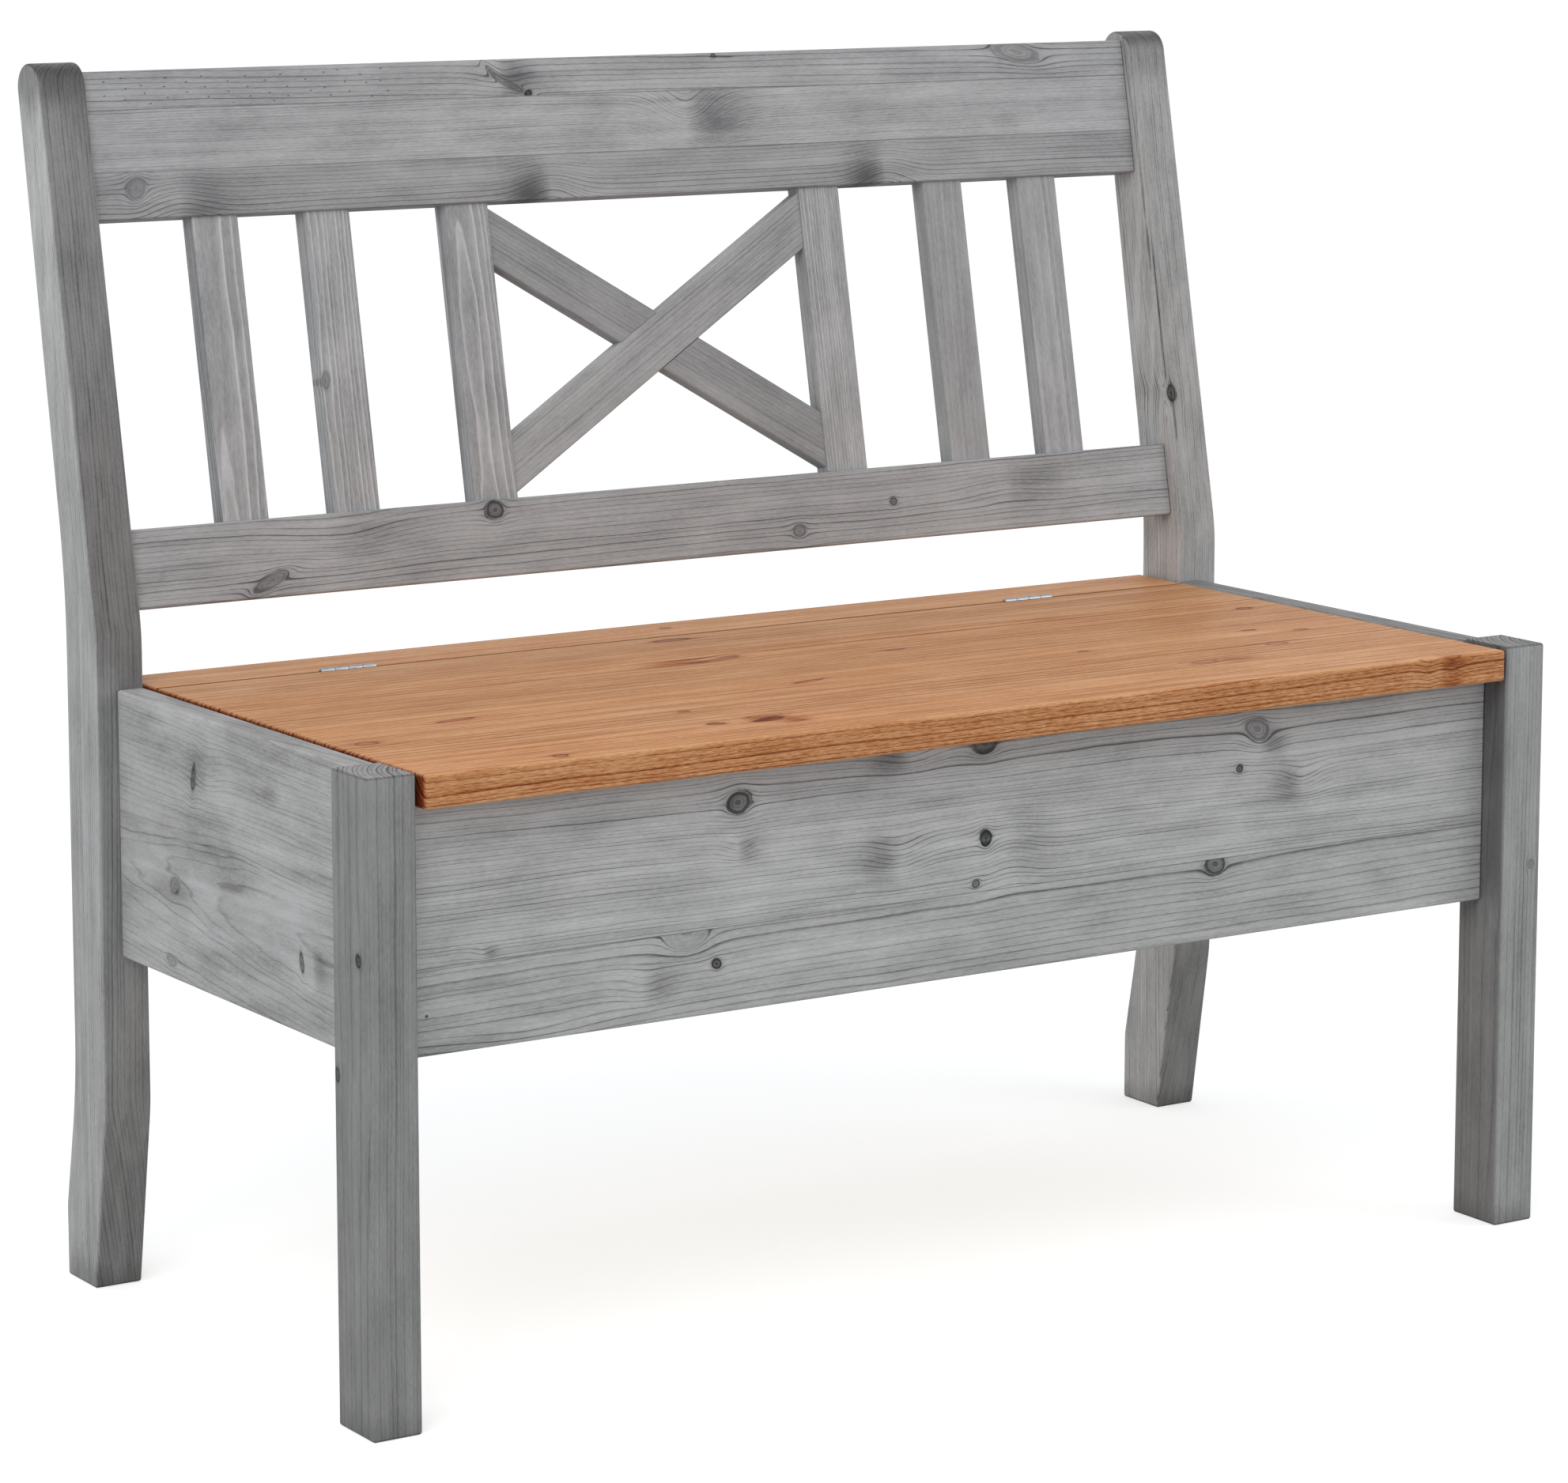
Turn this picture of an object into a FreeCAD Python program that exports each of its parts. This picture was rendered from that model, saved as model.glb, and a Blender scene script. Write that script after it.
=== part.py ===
import FreeCAD, Part
import Sketcher
import os
import re
from FreeCAD import Placement, Rotation, Vector

# Storage bench of solid pine. Millimetres, +X to the bench's right, +Y to its rear, +Z up.
# The origin is on the floor, in the middle of the bench's box.

doc = FreeCAD.newDocument("StorageBench")
sizes = doc.addObject("Spreadsheet::Sheet", "Sizes")

DRIVING = (
    # Frame
    ("overall_width", 1080, "over the outer faces of the legs"),
    ("seat_depth", 435, "front of the legs to front of the posts"),
    ("leg_width", 40, "legs and posts, side to side"),
    ("leg_depth", 53, "front legs, front to rear"),
    ("leg_height", 481, "front legs"),
    ("post_height", 955, "rear posts, to the top of the back"),
    ("post_depth", 54, "rear posts at seat height, front to rear"),
    ("back_lean_angle", 11.15, "degrees, front edge of the posts and the whole back"),
    ("post_taper_angle", 1.05, "degrees that the posts' rear edge leans less than their front edge"),
    ("lean_rise", 43.5, "above the seat, where the posts' front edge starts to lean"),
    ("rear_lean_lag", 33, "above that, where the rear edge starts to lean"),
    ("kick_front", 23.5, "how far the foot's front edge runs to the rear"),
    ("kick_start", 148, "height where the foot's front edge starts to run"),
    ("kick_rear", 20, "how far the foot's rear edge runs to the rear"),
    ("kick_rear_start", 160, "height where the foot's rear edge starts to run"),
    ("kick_rear_low", 58, "height where the foot's rear edge is upright again"),
    ("front_bend_round", 150, "round of the front edge where the lean starts"),
    ("rear_bend_round", 600, "round of the rear edge where the lean starts"),
    ("kick_front_round", 120, "round of the front edge above the foot"),
    ("kick_rear_round", 400, "round of the rear edge above the foot"),
    ("kick_low_round", 60, "round of the rear edge at the foot"),
    ("top_round", 19, "round of the posts' top, front and rear"),
    ("top_round_share", 0.48, "most of the top's width that one round may take"),
    ("arris", 2.5, "rounded edges of legs, panels, strip and lid"),
    ("fine_arris", 1.6, "rounded edges of rails, slats and braces"),
    # Chest
    ("panel_thickness", 23, "side, front and rear panels"),
    ("panel_drop", 2, "top of the side panels below the top of the legs"),
    ("panel_bottom", 269, "height of the panels' lower edges"),
    ("front_inset", 25, "front panel behind the front of the legs"),
    ("rear_inset", 14, "rear panel in front of the posts' rear edge"),
    ("bottom_thickness", 10, "bottom panel of the chest"),
    ("bottom_clearance", 0.5, "all round the bottom panel"),
    ("cleat_size", 20, "square cleats under the bottom panel"),
    ("cleat_rise", 5, "cleats above the panels' lower edges"),
    # Seat
    ("lid_thickness", 25, "lid and rear strip"),
    ("lid_rise", 0.5, "lid above the side panels"),
    ("lid_overhang", 4, "lid in front of the legs"),
    ("end_gap", 4.5, "between lid and leg, each end"),
    ("joint_gap", 1, "between lid and rear strip"),
    ("lid_rest_gap", 0.3, "between the closed lid and the front panel"),
    ("strip_width", 62.5, "fixed rear strip of the seat"),
    ("strip_inset", 3, "rear strip in front of the posts' rear edge"),
    ("batten_width", 45, "battens under the lid"),
    ("batten_thickness", 20, "battens under the lid"),
    ("batten_end_gap", 14, "battens clear of the front panel and of the hinge joint"),
    ("batten_inset", 150, "battens from the lid's ends"),
    # Back
    ("rail_thickness", 25, "both rails"),
    ("rail_setback", 9, "rails behind the posts' front edge"),
    ("lower_rail_rise", 15, "lower rail above the start of the lean, along the back"),
    ("lower_rail_width", 62, "lower rail, along the back"),
    ("top_rail_width", 116, "top rail, along the back"),
    ("top_rail_drop", 7, "top rail below the top of the posts"),
    ("slat_width", 40, "slats"),
    ("slat_thickness", 18, "slats"),
    ("slat_tenon", 8, "depth that a slat is housed in each rail"),
    ("slat_edge_gap", 84.5, "between post and first slat"),
    ("slat_pair_gap", 59, "between first and second slat"),
    ("cross_field", 300, "between the two inner slats"),
    ("brace_width", 40, "cross braces"),
    ("brace_thickness", 14, "cross braces"),
    ("brace_end", 27.3, "middle of a brace's end from the nearer rail"),
    ("mortise_clearance", 0.1, "each side of a slat's end"),
    ("lap_clearance", 0.05, "each side of the halving joint"),
    # Hinges
    ("hinge_length", 49, "along the joint"),
    ("hinge_distance", 167, "middle of a hinge from the lid's end"),
    ("leaf_foot", 5, "wood below a hinge leaf"),
    ("leaf_thickness", 1.2, "hinge leaf"),
    ("leaf_gap", 0.3, "between the two closed leaves"),
    ("knuckle_radius", 2.5, "outside of the knuckles"),
    ("knuckle_gap", 0.4, "between two knuckles"),
    ("knuckle_clearance", 0.3, "leaf round the other leaf's knuckles"),
    ("barrel_clearance", 0.4, "wood round the knuckles"),
    ("pin_radius", 1.25, "hinge pin"),
    ("pin_clearance", 0.05, "pin in the knuckles"),
    ("hinge_screw_radius", 1.4, "shank"),
    ("hinge_screw_head", 2.8, "radius of the countersunk head"),
    ("hinge_screw_length", 14, "shank behind the leaf"),
    ("hinge_screw_pitch", 16, "between two hinge screws"),
    ("hinge_screw_share", 0.6, "place of the screws down the leaf"),
    # Dowels and screws
    ("dowel_radius", 4, "beech dowels"),
    ("dowel_length", 40, "dowels of panels and rails"),
    ("strip_dowel_length", 26, "upright dowels under the rear strip"),
    ("dowel_clearance", 0.05, "dowel in its bore"),
    ("dowel_end_gap", 0.5, "each end of a dowel"),
    ("screw_radius", 1.75, "shank of the wood screws"),
    ("screw_length", 35, "shank of the wood screws"),
    ("screw_head", 3.5, "radius of the pan head"),
    ("screw_head_height", 2.4, "pan head"),
    ("screw_clearance", 0.05, "screw in its hole"),
)

# Knuckles of one hinge, which its two leaves hold in turn
KNUCKLES = 4

# Worked out from the sizes above. y_ and z_ names are places in the bench's frame.
DERIVED = (
    ("half_width", "overall_width / 2"),
    ("inner_half", "half_width - leg_width"),
    ("side_inset", "leg_width - panel_thickness"),
    ("z_side_top", "leg_height - panel_drop"),
    ("z_seat", "z_side_top + lid_rise"),
    ("z_seat_under", "z_seat - lid_thickness"),
    ("lean_start", "z_seat + lean_rise"),
    ("rear_lean_start", "lean_start + rear_lean_lag"),
    ("rear_lean_angle", "back_lean_angle - post_taper_angle"),
    ("top_run", "tan(back_lean_angle) * (post_height - lean_start)"),
    ("rear_run", "tan(rear_lean_angle) * (post_height - rear_lean_start)"),
    ("top_turn", "min(top_round; top_round_share * (post_depth + rear_run - top_run))"),
    ("top_reach", "top_turn * (1 - 1 / cos(rear_lean_angle) - tan(rear_lean_angle))"),
    ("rear_reach", "seat_depth + post_depth + rear_run + top_reach"),
    ("y_front", "(lid_overhang - rear_reach) / 2"),
    ("y_post", "y_front + seat_depth"),
    ("side_panel_height", "z_side_top - panel_bottom"),
    ("side_panel_length", "seat_depth - leg_depth"),
    ("front_panel_height", "z_seat_under - lid_rest_gap - panel_bottom"),
    ("rear_panel_height", "z_seat_under - panel_bottom"),
    ("rear_panel_place", "seat_depth + post_depth - rear_inset - panel_thickness"),
    ("front_panel_middle", "front_inset + panel_thickness / 2"),
    ("rear_panel_middle", "rear_panel_place + panel_thickness / 2"),
    ("chest_place", "front_inset + panel_thickness"),
    ("chest_depth", "rear_panel_place - chest_place"),
    ("y_chest", "y_front + chest_place"),
    ("z_cleat", "panel_bottom + cleat_rise"),
    ("cleat_length", "2 * (inner_half - cleat_size)"),
    ("lid_half", "inner_half - end_gap"),
    ("y_strip", "y_post + post_depth - strip_inset - strip_width"),
    ("y_joint", "y_strip - joint_gap / 2"),
    ("y_lid", "y_front - lid_overhang"),
    ("lid_depth", "y_joint - joint_gap / 2 - y_lid"),
    ("y_batten", "y_chest + batten_end_gap"),
    ("batten_length", "y_joint - batten_end_gap - y_batten"),
    ("batten_place", "lid_half - batten_inset - batten_width / 2"),
    ("hinge_place", "lid_half - hinge_distance"),
    ("knuckle_pitch", f"hinge_length / {KNUCKLES}"),
    ("leaf_height", "lid_thickness - leaf_foot"),
    ("leaf_back", "leaf_gap / 2 + leaf_thickness"),
    ("leaf_sink", "leaf_back - joint_gap / 2"),
    ("hinge_screw_drop", "hinge_screw_share * leaf_height"),
    ("field_rise", "lower_rail_rise + lower_rail_width"),
    ("back_rise", "(post_height - top_rail_drop - lean_start) / cos(back_lean_angle)"),
    ("top_rail_rise", "back_rise - top_rail_width"),
    ("slat_span", "top_rail_rise - field_rise"),
    ("slat_inset", "(rail_thickness - slat_thickness) / 2"),
    ("brace_inset", "(rail_thickness - brace_thickness) / 2"),
    ("outer_slat", "inner_half - slat_edge_gap - slat_width / 2"),
    ("middle_slat", "outer_slat - slat_width - slat_pair_gap"),
    ("inner_slat", "cross_field / 2 + slat_width / 2"),
    ("brace_slope", "(slat_span - 2 * brace_end) / cross_field"),
    ("brace_cut", "brace_width / 2 * sqrt(1 + brace_slope ^ 2)"),
    ("lap_cut", "brace_cut + lap_clearance * sqrt(1 + brace_slope ^ 2)"),
    ("bore_radius", "dowel_radius + dowel_clearance"),
    ("bore_depth", "dowel_length / 2 + dowel_end_gap"),
    ("strip_bore_depth", "strip_dowel_length / 2 + dowel_end_gap"),
    ("pilot_radius", "screw_radius + screw_clearance"),
    ("cleat_pilot_depth", "screw_length - cleat_size + screw_clearance"),
    ("batten_pilot_depth", "screw_length - batten_thickness + screw_clearance"),
)

# Places of dowels and screws, as shares of the piece that they are in
SIDE_DOWEL_SHARES = (0.2, 0.5, 0.8)
CROSS_DOWEL_SHARES = (0.1, 0.42, 0.75)
STRIP_DOWEL_SHARES = (0.1, 0.37, 0.63, 0.9)
LOWER_RAIL_DOWEL_SHARES = (0.28, 0.72)
TOP_RAIL_DOWEL_SHARES = (0.25, 0.75)
CLEAT_SCREW_SHARES = (0.1, 0.37, 0.63, 0.9)
SIDE_CLEAT_SCREW_SHARES = (0.2, 0.8)
BATTEN_SCREW_SHARES = (0.12, 0.5, 0.88)

for row, (alias, number, meaning) in enumerate(DRIVING, start=1):
    sizes.set(f"A{row}", alias)
    sizes.set(f"B{row}", str(number))
    sizes.setAlias(f"B{row}", alias)
    sizes.set(f"C{row}", meaning)
for row, (alias, formula) in enumerate(DERIVED, start=len(DRIVING) + 1):
    sizes.set(f"A{row}", alias)
    sizes.set(f"B{row}", "=" + formula)
    sizes.setAlias(f"B{row}", alias)
doc.recompute()

ALIASES = {row[0] for row in DRIVING + DERIVED}
WORD = re.compile(r"[a-z][a-z_]*")
DIRECTIONS = {"X": Vector(1, 0, 0), "Y": Vector(0, 1, 0), "Z": Vector(0, 0, 1)}
# The origin plane across each axis, and whether its normal points along that axis
PLANES = {"X": ("YZ_Plane", True), "Y": ("XZ_Plane", False), "Z": ("XY_Plane", True)}
# How far apart two places may be and still count as one, in picking edges
SAME_PLACE = 0.001


def in_sheet(word):
    """A word of a formula, pointing into the sheet where it is one of its names."""
    name = word.group()
    return "Sizes." + name if name in ALIASES else name


def value(formula):
    """The number that a formula gives now."""
    return float(sizes.evalExpression(formula))


def bind(obj, **formulas):
    """Ties an object's properties to formulas of the sheet's names."""
    for name, formula in formulas.items():
        obj.setExpression(name, WORD.sub(in_sheet, formula))


def place(obj, corner):
    """Ties an object's place to three formulas, in the bench's frame."""
    bind(obj, **{"Placement.Base." + axis: formula for axis, formula in zip("xyz", corner)})


def turn(obj, direction):
    """Turns a primitive so that its own Z axis points in a direction."""
    obj.Placement.Rotation = Rotation(DIRECTIONS["Z"], direction)


def new_body(label, corner):
    body = doc.addObject("PartDesign::Body", label)
    body.Label = label
    place(body, corner)
    return body


def back_point(into, rise):
    """Formulas for a point of the leaning back: its depth behind the legs' front, and its height."""
    return (f"seat_depth + rail_setback + ({into}) * cos(back_lean_angle) + ({rise}) * sin(back_lean_angle)",
            f"lean_start - ({into}) * sin(back_lean_angle) + ({rise}) * cos(back_lean_angle)")


def lean_back(body, across, into, rise):
    """Places a body on the leaning back: across it, into its thickness and up along it."""
    body.Placement = Placement(Vector(), Rotation(DIRECTIONS["X"], -value("back_lean_angle")))
    bind(body, **{"Placement.Rotation.Angle": "-back_lean_angle"})
    depth, height = back_point(into, rise)
    place(body, (across, "y_front + " + depth, height))


def new_sketch(body, axis, level):
    """A sketch across an axis of the body, at a level along that axis."""
    role, towards = PLANES[axis]
    sketch = body.newObject("Sketcher::SketchObject", body.Label + "_sketch")
    plane = next(feature for feature in body.Origin.OriginFeatures if feature.Role == role)
    sketch.AttachmentSupport = [(plane, "")]
    sketch.MapMode = "FlatFace"
    bind(sketch, **{"AttachmentOffset.Base.z": level if towards else f"-({level})"})
    return sketch


def hold(sketch, kind, where, formula):
    """Adds a constraint of a kind at a place in the sketch, tied to a formula."""
    index = sketch.addConstraint(Sketcher.Constraint(kind, *where, value(formula)))
    bind(sketch, **{f"Constraints[{index}]": formula})


def polygon(sketch, corners):
    """Draws a closed outline, each corner held by its two distances from the sketch's origin."""
    points = [Vector(value(across), value(up), 0) for across, up in corners]
    first = sketch.GeometryCount
    for start, end in zip(points, points[1:] + points[:1]):
        sketch.addGeometry(Part.LineSegment(start, end), False)
    for number, (across, up) in enumerate(corners):
        line = first + number
        following = first + (number + 1) % len(corners)
        sketch.addConstraint(Sketcher.Constraint("Coincident", line, 2, following, 1))
        hold(sketch, "DistanceX", (-1, 1, line, 1), across)
        hold(sketch, "DistanceY", (-1, 1, line, 1), up)


def rectangle(sketch, low, high):
    polygon(sketch, (low, (high[0], low[1]), high, (low[0], high[1])))


def circle(sketch, centre, radius):
    middle = Vector(value(centre[0]), value(centre[1]), 0)
    number = sketch.addGeometry(Part.Circle(middle, DIRECTIONS["Z"], value(radius)), False)
    hold(sketch, "Radius", (number,), radius)
    hold(sketch, "DistanceX", (-1, 1, number, 3), centre[0])
    hold(sketch, "DistanceY", (-1, 1, number, 3), centre[1])


def pad(body, sketch, axis, length):
    """Thickens a sketch along the axis that it lies across."""
    feature = body.newObject("PartDesign::Pad", body.Label + "_pad")
    feature.Profile = sketch
    feature.Reversed = not PLANES[axis][1]
    bind(feature, Length=length)
    doc.recompute()


def pocket(body, sketch, axis, depth, forward):
    """Cuts a sketch into the body, forward or backward along its axis, and sees that it cut."""
    before = body.Shape.Volume
    feature = body.newObject("PartDesign::Pocket", body.Label + "_pocket")
    feature.Profile = sketch
    feature.Reversed = forward == PLANES[axis][1]
    bind(feature, Length=depth)
    doc.recompute()
    if body.Shape.isNull() or not body.Shape.Volume < before:
        raise RuntimeError(body.Label + ": a pocket cut nothing")


def drill(body, axis, level, centres, radius, depth, forward):
    """Bores a row of holes along an axis, from a level of it."""
    sketch = new_sketch(body, axis, level)
    for centre in centres:
        circle(sketch, centre, radius)
    pocket(body, sketch, axis, depth, forward)


def runs_along(edge, axis):
    """Whether an edge is straight and lies along an axis."""
    span = edge.Vertexes[-1].Point - edge.Vertexes[0].Point
    return span.Length > 0 and span.cross(DIRECTIONS[axis]).Length < SAME_PLACE


def round_edges(body, radius, chosen):
    """Rounds the edges of the body that a test chooses."""
    base = body.Tip
    names = [f"Edge{number}" for number, edge in enumerate(base.Shape.Edges, start=1) if chosen(edge)]
    feature = body.newObject("PartDesign::Fillet", body.Label + "_round")
    feature.Base = (base, names)
    bind(feature, Radius=radius)
    doc.recompute()


def board(label, corner, size, radius="arris", axes="XYZ"):
    """A planed board from its low corner and its three sizes, rounded on its edges along some axes."""
    body = new_body(label, corner)
    sketch = new_sketch(body, "Z", "0")
    rectangle(sketch, ("0", "0"), size[:2])
    pad(body, sketch, "Z", size[2])
    round_edges(body, radius, lambda edge: any(runs_along(edge, axis) for axis in axes))
    return body


def shares_of(length, shares, start="0"):
    """Formulas for places at shares of a length, counted from a start."""
    return [f"{start} + {share} * ({length})" for share in shares]


SIDE_DOWEL_HEIGHTS = shares_of("side_panel_height", SIDE_DOWEL_SHARES, "panel_bottom")
RAIL_DOWEL_RISES = (shares_of("lower_rail_width", LOWER_RAIL_DOWEL_SHARES, "lower_rail_rise")
                    + shares_of("top_rail_width", TOP_RAIL_DOWEL_SHARES, "top_rail_rise"))
RAIL_DOWEL_POINTS = [back_point("rail_thickness / 2", rise) for rise in RAIL_DOWEL_RISES]
STRIP_DOWEL_PLACES = shares_of("2 * lid_half", STRIP_DOWEL_SHARES, "-lid_half")
CLEAT_SCREW_PLACES = shares_of("cleat_length", CLEAT_SCREW_SHARES, "-cleat_length / 2")
SIDE_CLEAT_SCREW_PLACES = shares_of("chest_depth", SIDE_CLEAT_SCREW_SHARES, "chest_place")
BATTEN_SCREW_PLACES = shares_of("batten_length", BATTEN_SCREW_SHARES)
SLAT_MIDDLES = ("-outer_slat", "-middle_slat", "-inner_slat", "inner_slat", "middle_slat", "outer_slat")
HINGE_SCREW_STEPS = ("-hinge_screw_pitch", "0", "hinge_screw_pitch")


def upright_bores(body, left, side_level, side_forward, cross_end, more=()):
    """Bores of a leg or post: for the side panel, for the front or rear panel, and any more beside those."""
    side_middle = "side_inset + panel_thickness / 2" if left else "panel_thickness / 2"
    side = [(side_middle, height) for height in SIDE_DOWEL_HEIGHTS]
    drill(body, "Y", side_level, side, "bore_radius", "bore_depth", side_forward)
    heights = shares_of(cross_end + "_panel_height", CROSS_DOWEL_SHARES, "panel_bottom")
    cross = [(cross_end + "_panel_middle", height) for height in heights] + list(more)
    drill(body, "X", "leg_width" if left else "0", cross, "bore_radius", "bore_depth", not left)


def front_leg(label, left):
    """Front leg: a square-edged upright, bored for the side panel and the front panel."""
    corner = ("-half_width" if left else "inner_half", "y_front", "0")
    body = board(label, corner, ("leg_width", "leg_depth", "leg_height"))
    upright_bores(body, left, "leg_depth", False, "front")
    return body


def rear_post(label, left):
    """Rear post: a bent outline cut from plank, rounded at its bends, over its top and on its edges."""
    body = new_body(label, ("-half_width" if left else "inner_half", "y_front", "0"))
    rear = "seat_depth + post_depth"
    foot_rear = rear + " + kick_rear"
    rounds = (
        ("kick_front_round", (("seat_depth", "kick_start"),)),
        ("front_bend_round", (("seat_depth", "lean_start"),)),
        ("top_turn", (("seat_depth + top_run", "post_height"), (rear + " + rear_run", "post_height"))),
        ("rear_bend_round", ((rear, "rear_lean_start"),)),
        ("kick_rear_round", ((rear, "kick_rear_start"),)),
        ("kick_low_round", ((foot_rear, "kick_rear_low"),)),
    )
    bends = [corner for radius, corners in rounds for corner in corners]
    sketch = new_sketch(body, "X", "0")
    polygon(sketch, [("seat_depth + kick_front", "0")] + bends + [(foot_rear, "0")])
    pad(body, sketch, "X", "leg_width")
    for radius, corners in rounds:
        spots = [Vector(0, value(depth), value(height)) for depth, height in corners]
        round_edges(body, radius, lambda edge: runs_along(edge, "X") and any(
            (edge.CenterOfMass - spot).cross(DIRECTIONS["X"]).Length < SAME_PLACE for spot in spots))
    round_edges(body, "arris", lambda edge: not runs_along(edge, "X") or edge.CenterOfMass.z < SAME_PLACE)
    upright_bores(body, left, "seat_depth", True, "rear", RAIL_DOWEL_POINTS)
    return body


def side_panel(label, left):
    """Side panel: butts against leg and post, its inner face flush with theirs."""
    across = "-inner_half - panel_thickness" if left else "inner_half"
    size = ("panel_thickness", "side_panel_length", "side_panel_height")
    body = board(label, (across, "y_front + leg_depth", "panel_bottom"), size)
    bores = [("panel_thickness / 2", up) for up in shares_of("side_panel_height", SIDE_DOWEL_SHARES)]
    drill(body, "Y", "0", bores, "bore_radius", "bore_depth", True)
    drill(body, "Y", "side_panel_length", bores, "bore_radius", "bore_depth", False)
    pilots = [(depth + " - leg_depth", "cleat_rise + cleat_size / 2") for depth in SIDE_CLEAT_SCREW_PLACES]
    inner_face = "panel_thickness" if left else "0"
    drill(body, "X", inner_face, pilots, "pilot_radius", "cleat_pilot_depth", not left)
    return body


def cross_panel(label, distance, height, front):
    """Front or rear panel: between the inner faces of the legs or of the posts."""
    corner = ("-inner_half", "y_front + " + distance, "panel_bottom")
    body = board(label, corner, ("2 * inner_half", "panel_thickness", height))
    bores = [("panel_thickness / 2", up) for up in shares_of(height, CROSS_DOWEL_SHARES)]
    drill(body, "X", "0", bores, "bore_radius", "bore_depth", True)
    drill(body, "X", "2 * inner_half", bores, "bore_radius", "bore_depth", False)
    pilots = [("inner_half + " + across, "cleat_rise + cleat_size / 2") for across in CLEAT_SCREW_PLACES]
    inner_face = "panel_thickness" if front else "0"
    drill(body, "Y", inner_face, pilots, "pilot_radius", "cleat_pilot_depth", not front)
    return body


def long_cleat(label, low):
    """Cleat along the front or rear panel, between the two side cleats."""
    size = ("cleat_length", "cleat_size", "cleat_size")
    body = board(label, ("-cleat_length / 2", low, "z_cleat"), size, "fine_arris", "X")
    holes = [("cleat_length / 2 + " + across, "cleat_size / 2") for across in CLEAT_SCREW_PLACES]
    drill(body, "Y", "0", holes, "pilot_radius", "cleat_size", True)
    return body


def side_cleat(label, low):
    """Cleat along a side panel, from the front panel to the rear panel."""
    size = ("cleat_size", "chest_depth", "cleat_size")
    body = board(label, (low, "y_chest", "z_cleat"), size, "fine_arris", "Y")
    holes = [(depth + " - chest_place", "cleat_size / 2") for depth in SIDE_CLEAT_SCREW_PLACES]
    drill(body, "X", "0", holes, "pilot_radius", "cleat_size", True)
    return body


def rail(label, rise, width, dowel_shares, mortise_level, upward):
    """Rail of the back: butts against both posts and houses the ends of the slats."""
    body = board(label, ("0", "0", "0"), ("2 * inner_half", "rail_thickness", width), "fine_arris")
    lean_back(body, "-inner_half", "0", rise)
    bores = [("rail_thickness / 2", up) for up in shares_of(width, dowel_shares)]
    drill(body, "X", "0", bores, "bore_radius", "bore_depth", True)
    drill(body, "X", "2 * inner_half", bores, "bore_radius", "bore_depth", False)
    sketch = new_sketch(body, "Z", mortise_level)
    near = "slat_inset - mortise_clearance"
    far = "slat_inset + slat_thickness + mortise_clearance"
    for middle in SLAT_MIDDLES:
        low = f"inner_half + {middle} - slat_width / 2 - mortise_clearance"
        high = f"inner_half + {middle} + slat_width / 2 + mortise_clearance"
        rectangle(sketch, (low, near), (high, far))
    pocket(body, sketch, "Z", "slat_tenon + mortise_clearance", upward)
    return body


def slat(label, middle):
    """Slat of the back: a plain stave, housed in both rails."""
    size = ("slat_width", "slat_thickness", "slat_span + 2 * slat_tenon")
    body = board(label, ("0", "0", "0"), size, "fine_arris", "Z")
    lean_back(body, middle + " - slat_width / 2", "slat_inset", "field_rise - slat_tenon")
    return body


def brace_outline(rising, cut):
    """Corners of a brace, with ends that stand upright against the slats."""
    start, end = "brace_end", "slat_span - brace_end"
    if not rising:
        start, end = end, start
    return (("-cross_field / 2", f"{start} - {cut}"), ("cross_field / 2", f"{end} - {cut}"),
            ("cross_field / 2", f"{end} + {cut}"), ("-cross_field / 2", f"{start} + {cut}"))


def brace(label, rising):
    """Brace of the cross: halved where it meets the other, with the rising brace in front."""
    body = new_body(label, ("0", "0", "0"))
    sketch = new_sketch(body, "Y", "0")
    polygon(sketch, brace_outline(rising, "brace_cut"))
    pad(body, sketch, "Y", "brace_thickness")
    round_edges(body, "fine_arris", lambda edge: not runs_along(edge, "Y") and not runs_along(edge, "Z"))
    lean_back(body, "0", "brace_inset", "field_rise")
    sketch = new_sketch(body, "Y", "brace_thickness / 2 - lap_clearance" if rising else "0")
    polygon(sketch, brace_outline(not rising, "lap_cut"))
    pocket(body, sketch, "Y", "brace_thickness / 2 + lap_clearance", True)
    return body


def hinge_beds(body, level, pin_depth, forward):
    """Cuts both hinges' beds into an edge of the seat: a sunk face for the leaf, a groove for the barrel."""
    for middle in ("lid_half - hinge_place", "lid_half + hinge_place"):
        low = f"{middle} - hinge_length / 2 - barrel_clearance"
        high = f"{middle} + hinge_length / 2 + barrel_clearance"
        sketch = new_sketch(body, "Y", level)
        rectangle(sketch, (low, "leaf_foot"), (high, "lid_thickness"))
        pocket(body, sketch, "Y", "leaf_sink", forward)
        drill(body, "X", low, [(pin_depth, "lid_thickness")], "knuckle_radius + barrel_clearance",
              "hinge_length + 2 * barrel_clearance", True)
        holes = [(f"{middle} + {step}", "lid_thickness - hinge_screw_drop") for step in HINGE_SCREW_STEPS]
        drill(body, "Y", level, holes, "hinge_screw_radius + screw_clearance",
              "leaf_sink + hinge_screw_length + screw_clearance", forward)


def seat_strip(label):
    """Rear strip of the seat: fixed on the rear panel, and carries the hinges."""
    size = ("2 * lid_half", "strip_width", "lid_thickness")
    body = board(label, ("-lid_half", "y_strip", "z_seat_under"), size)
    hinge_beds(body, "0", "-joint_gap / 2", True)
    depth = "y_front + rear_panel_middle - y_strip"
    bores = [("lid_half + " + across, depth) for across in STRIP_DOWEL_PLACES]
    drill(body, "Z", "0", bores, "bore_radius", "strip_bore_depth", True)
    return body


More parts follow.
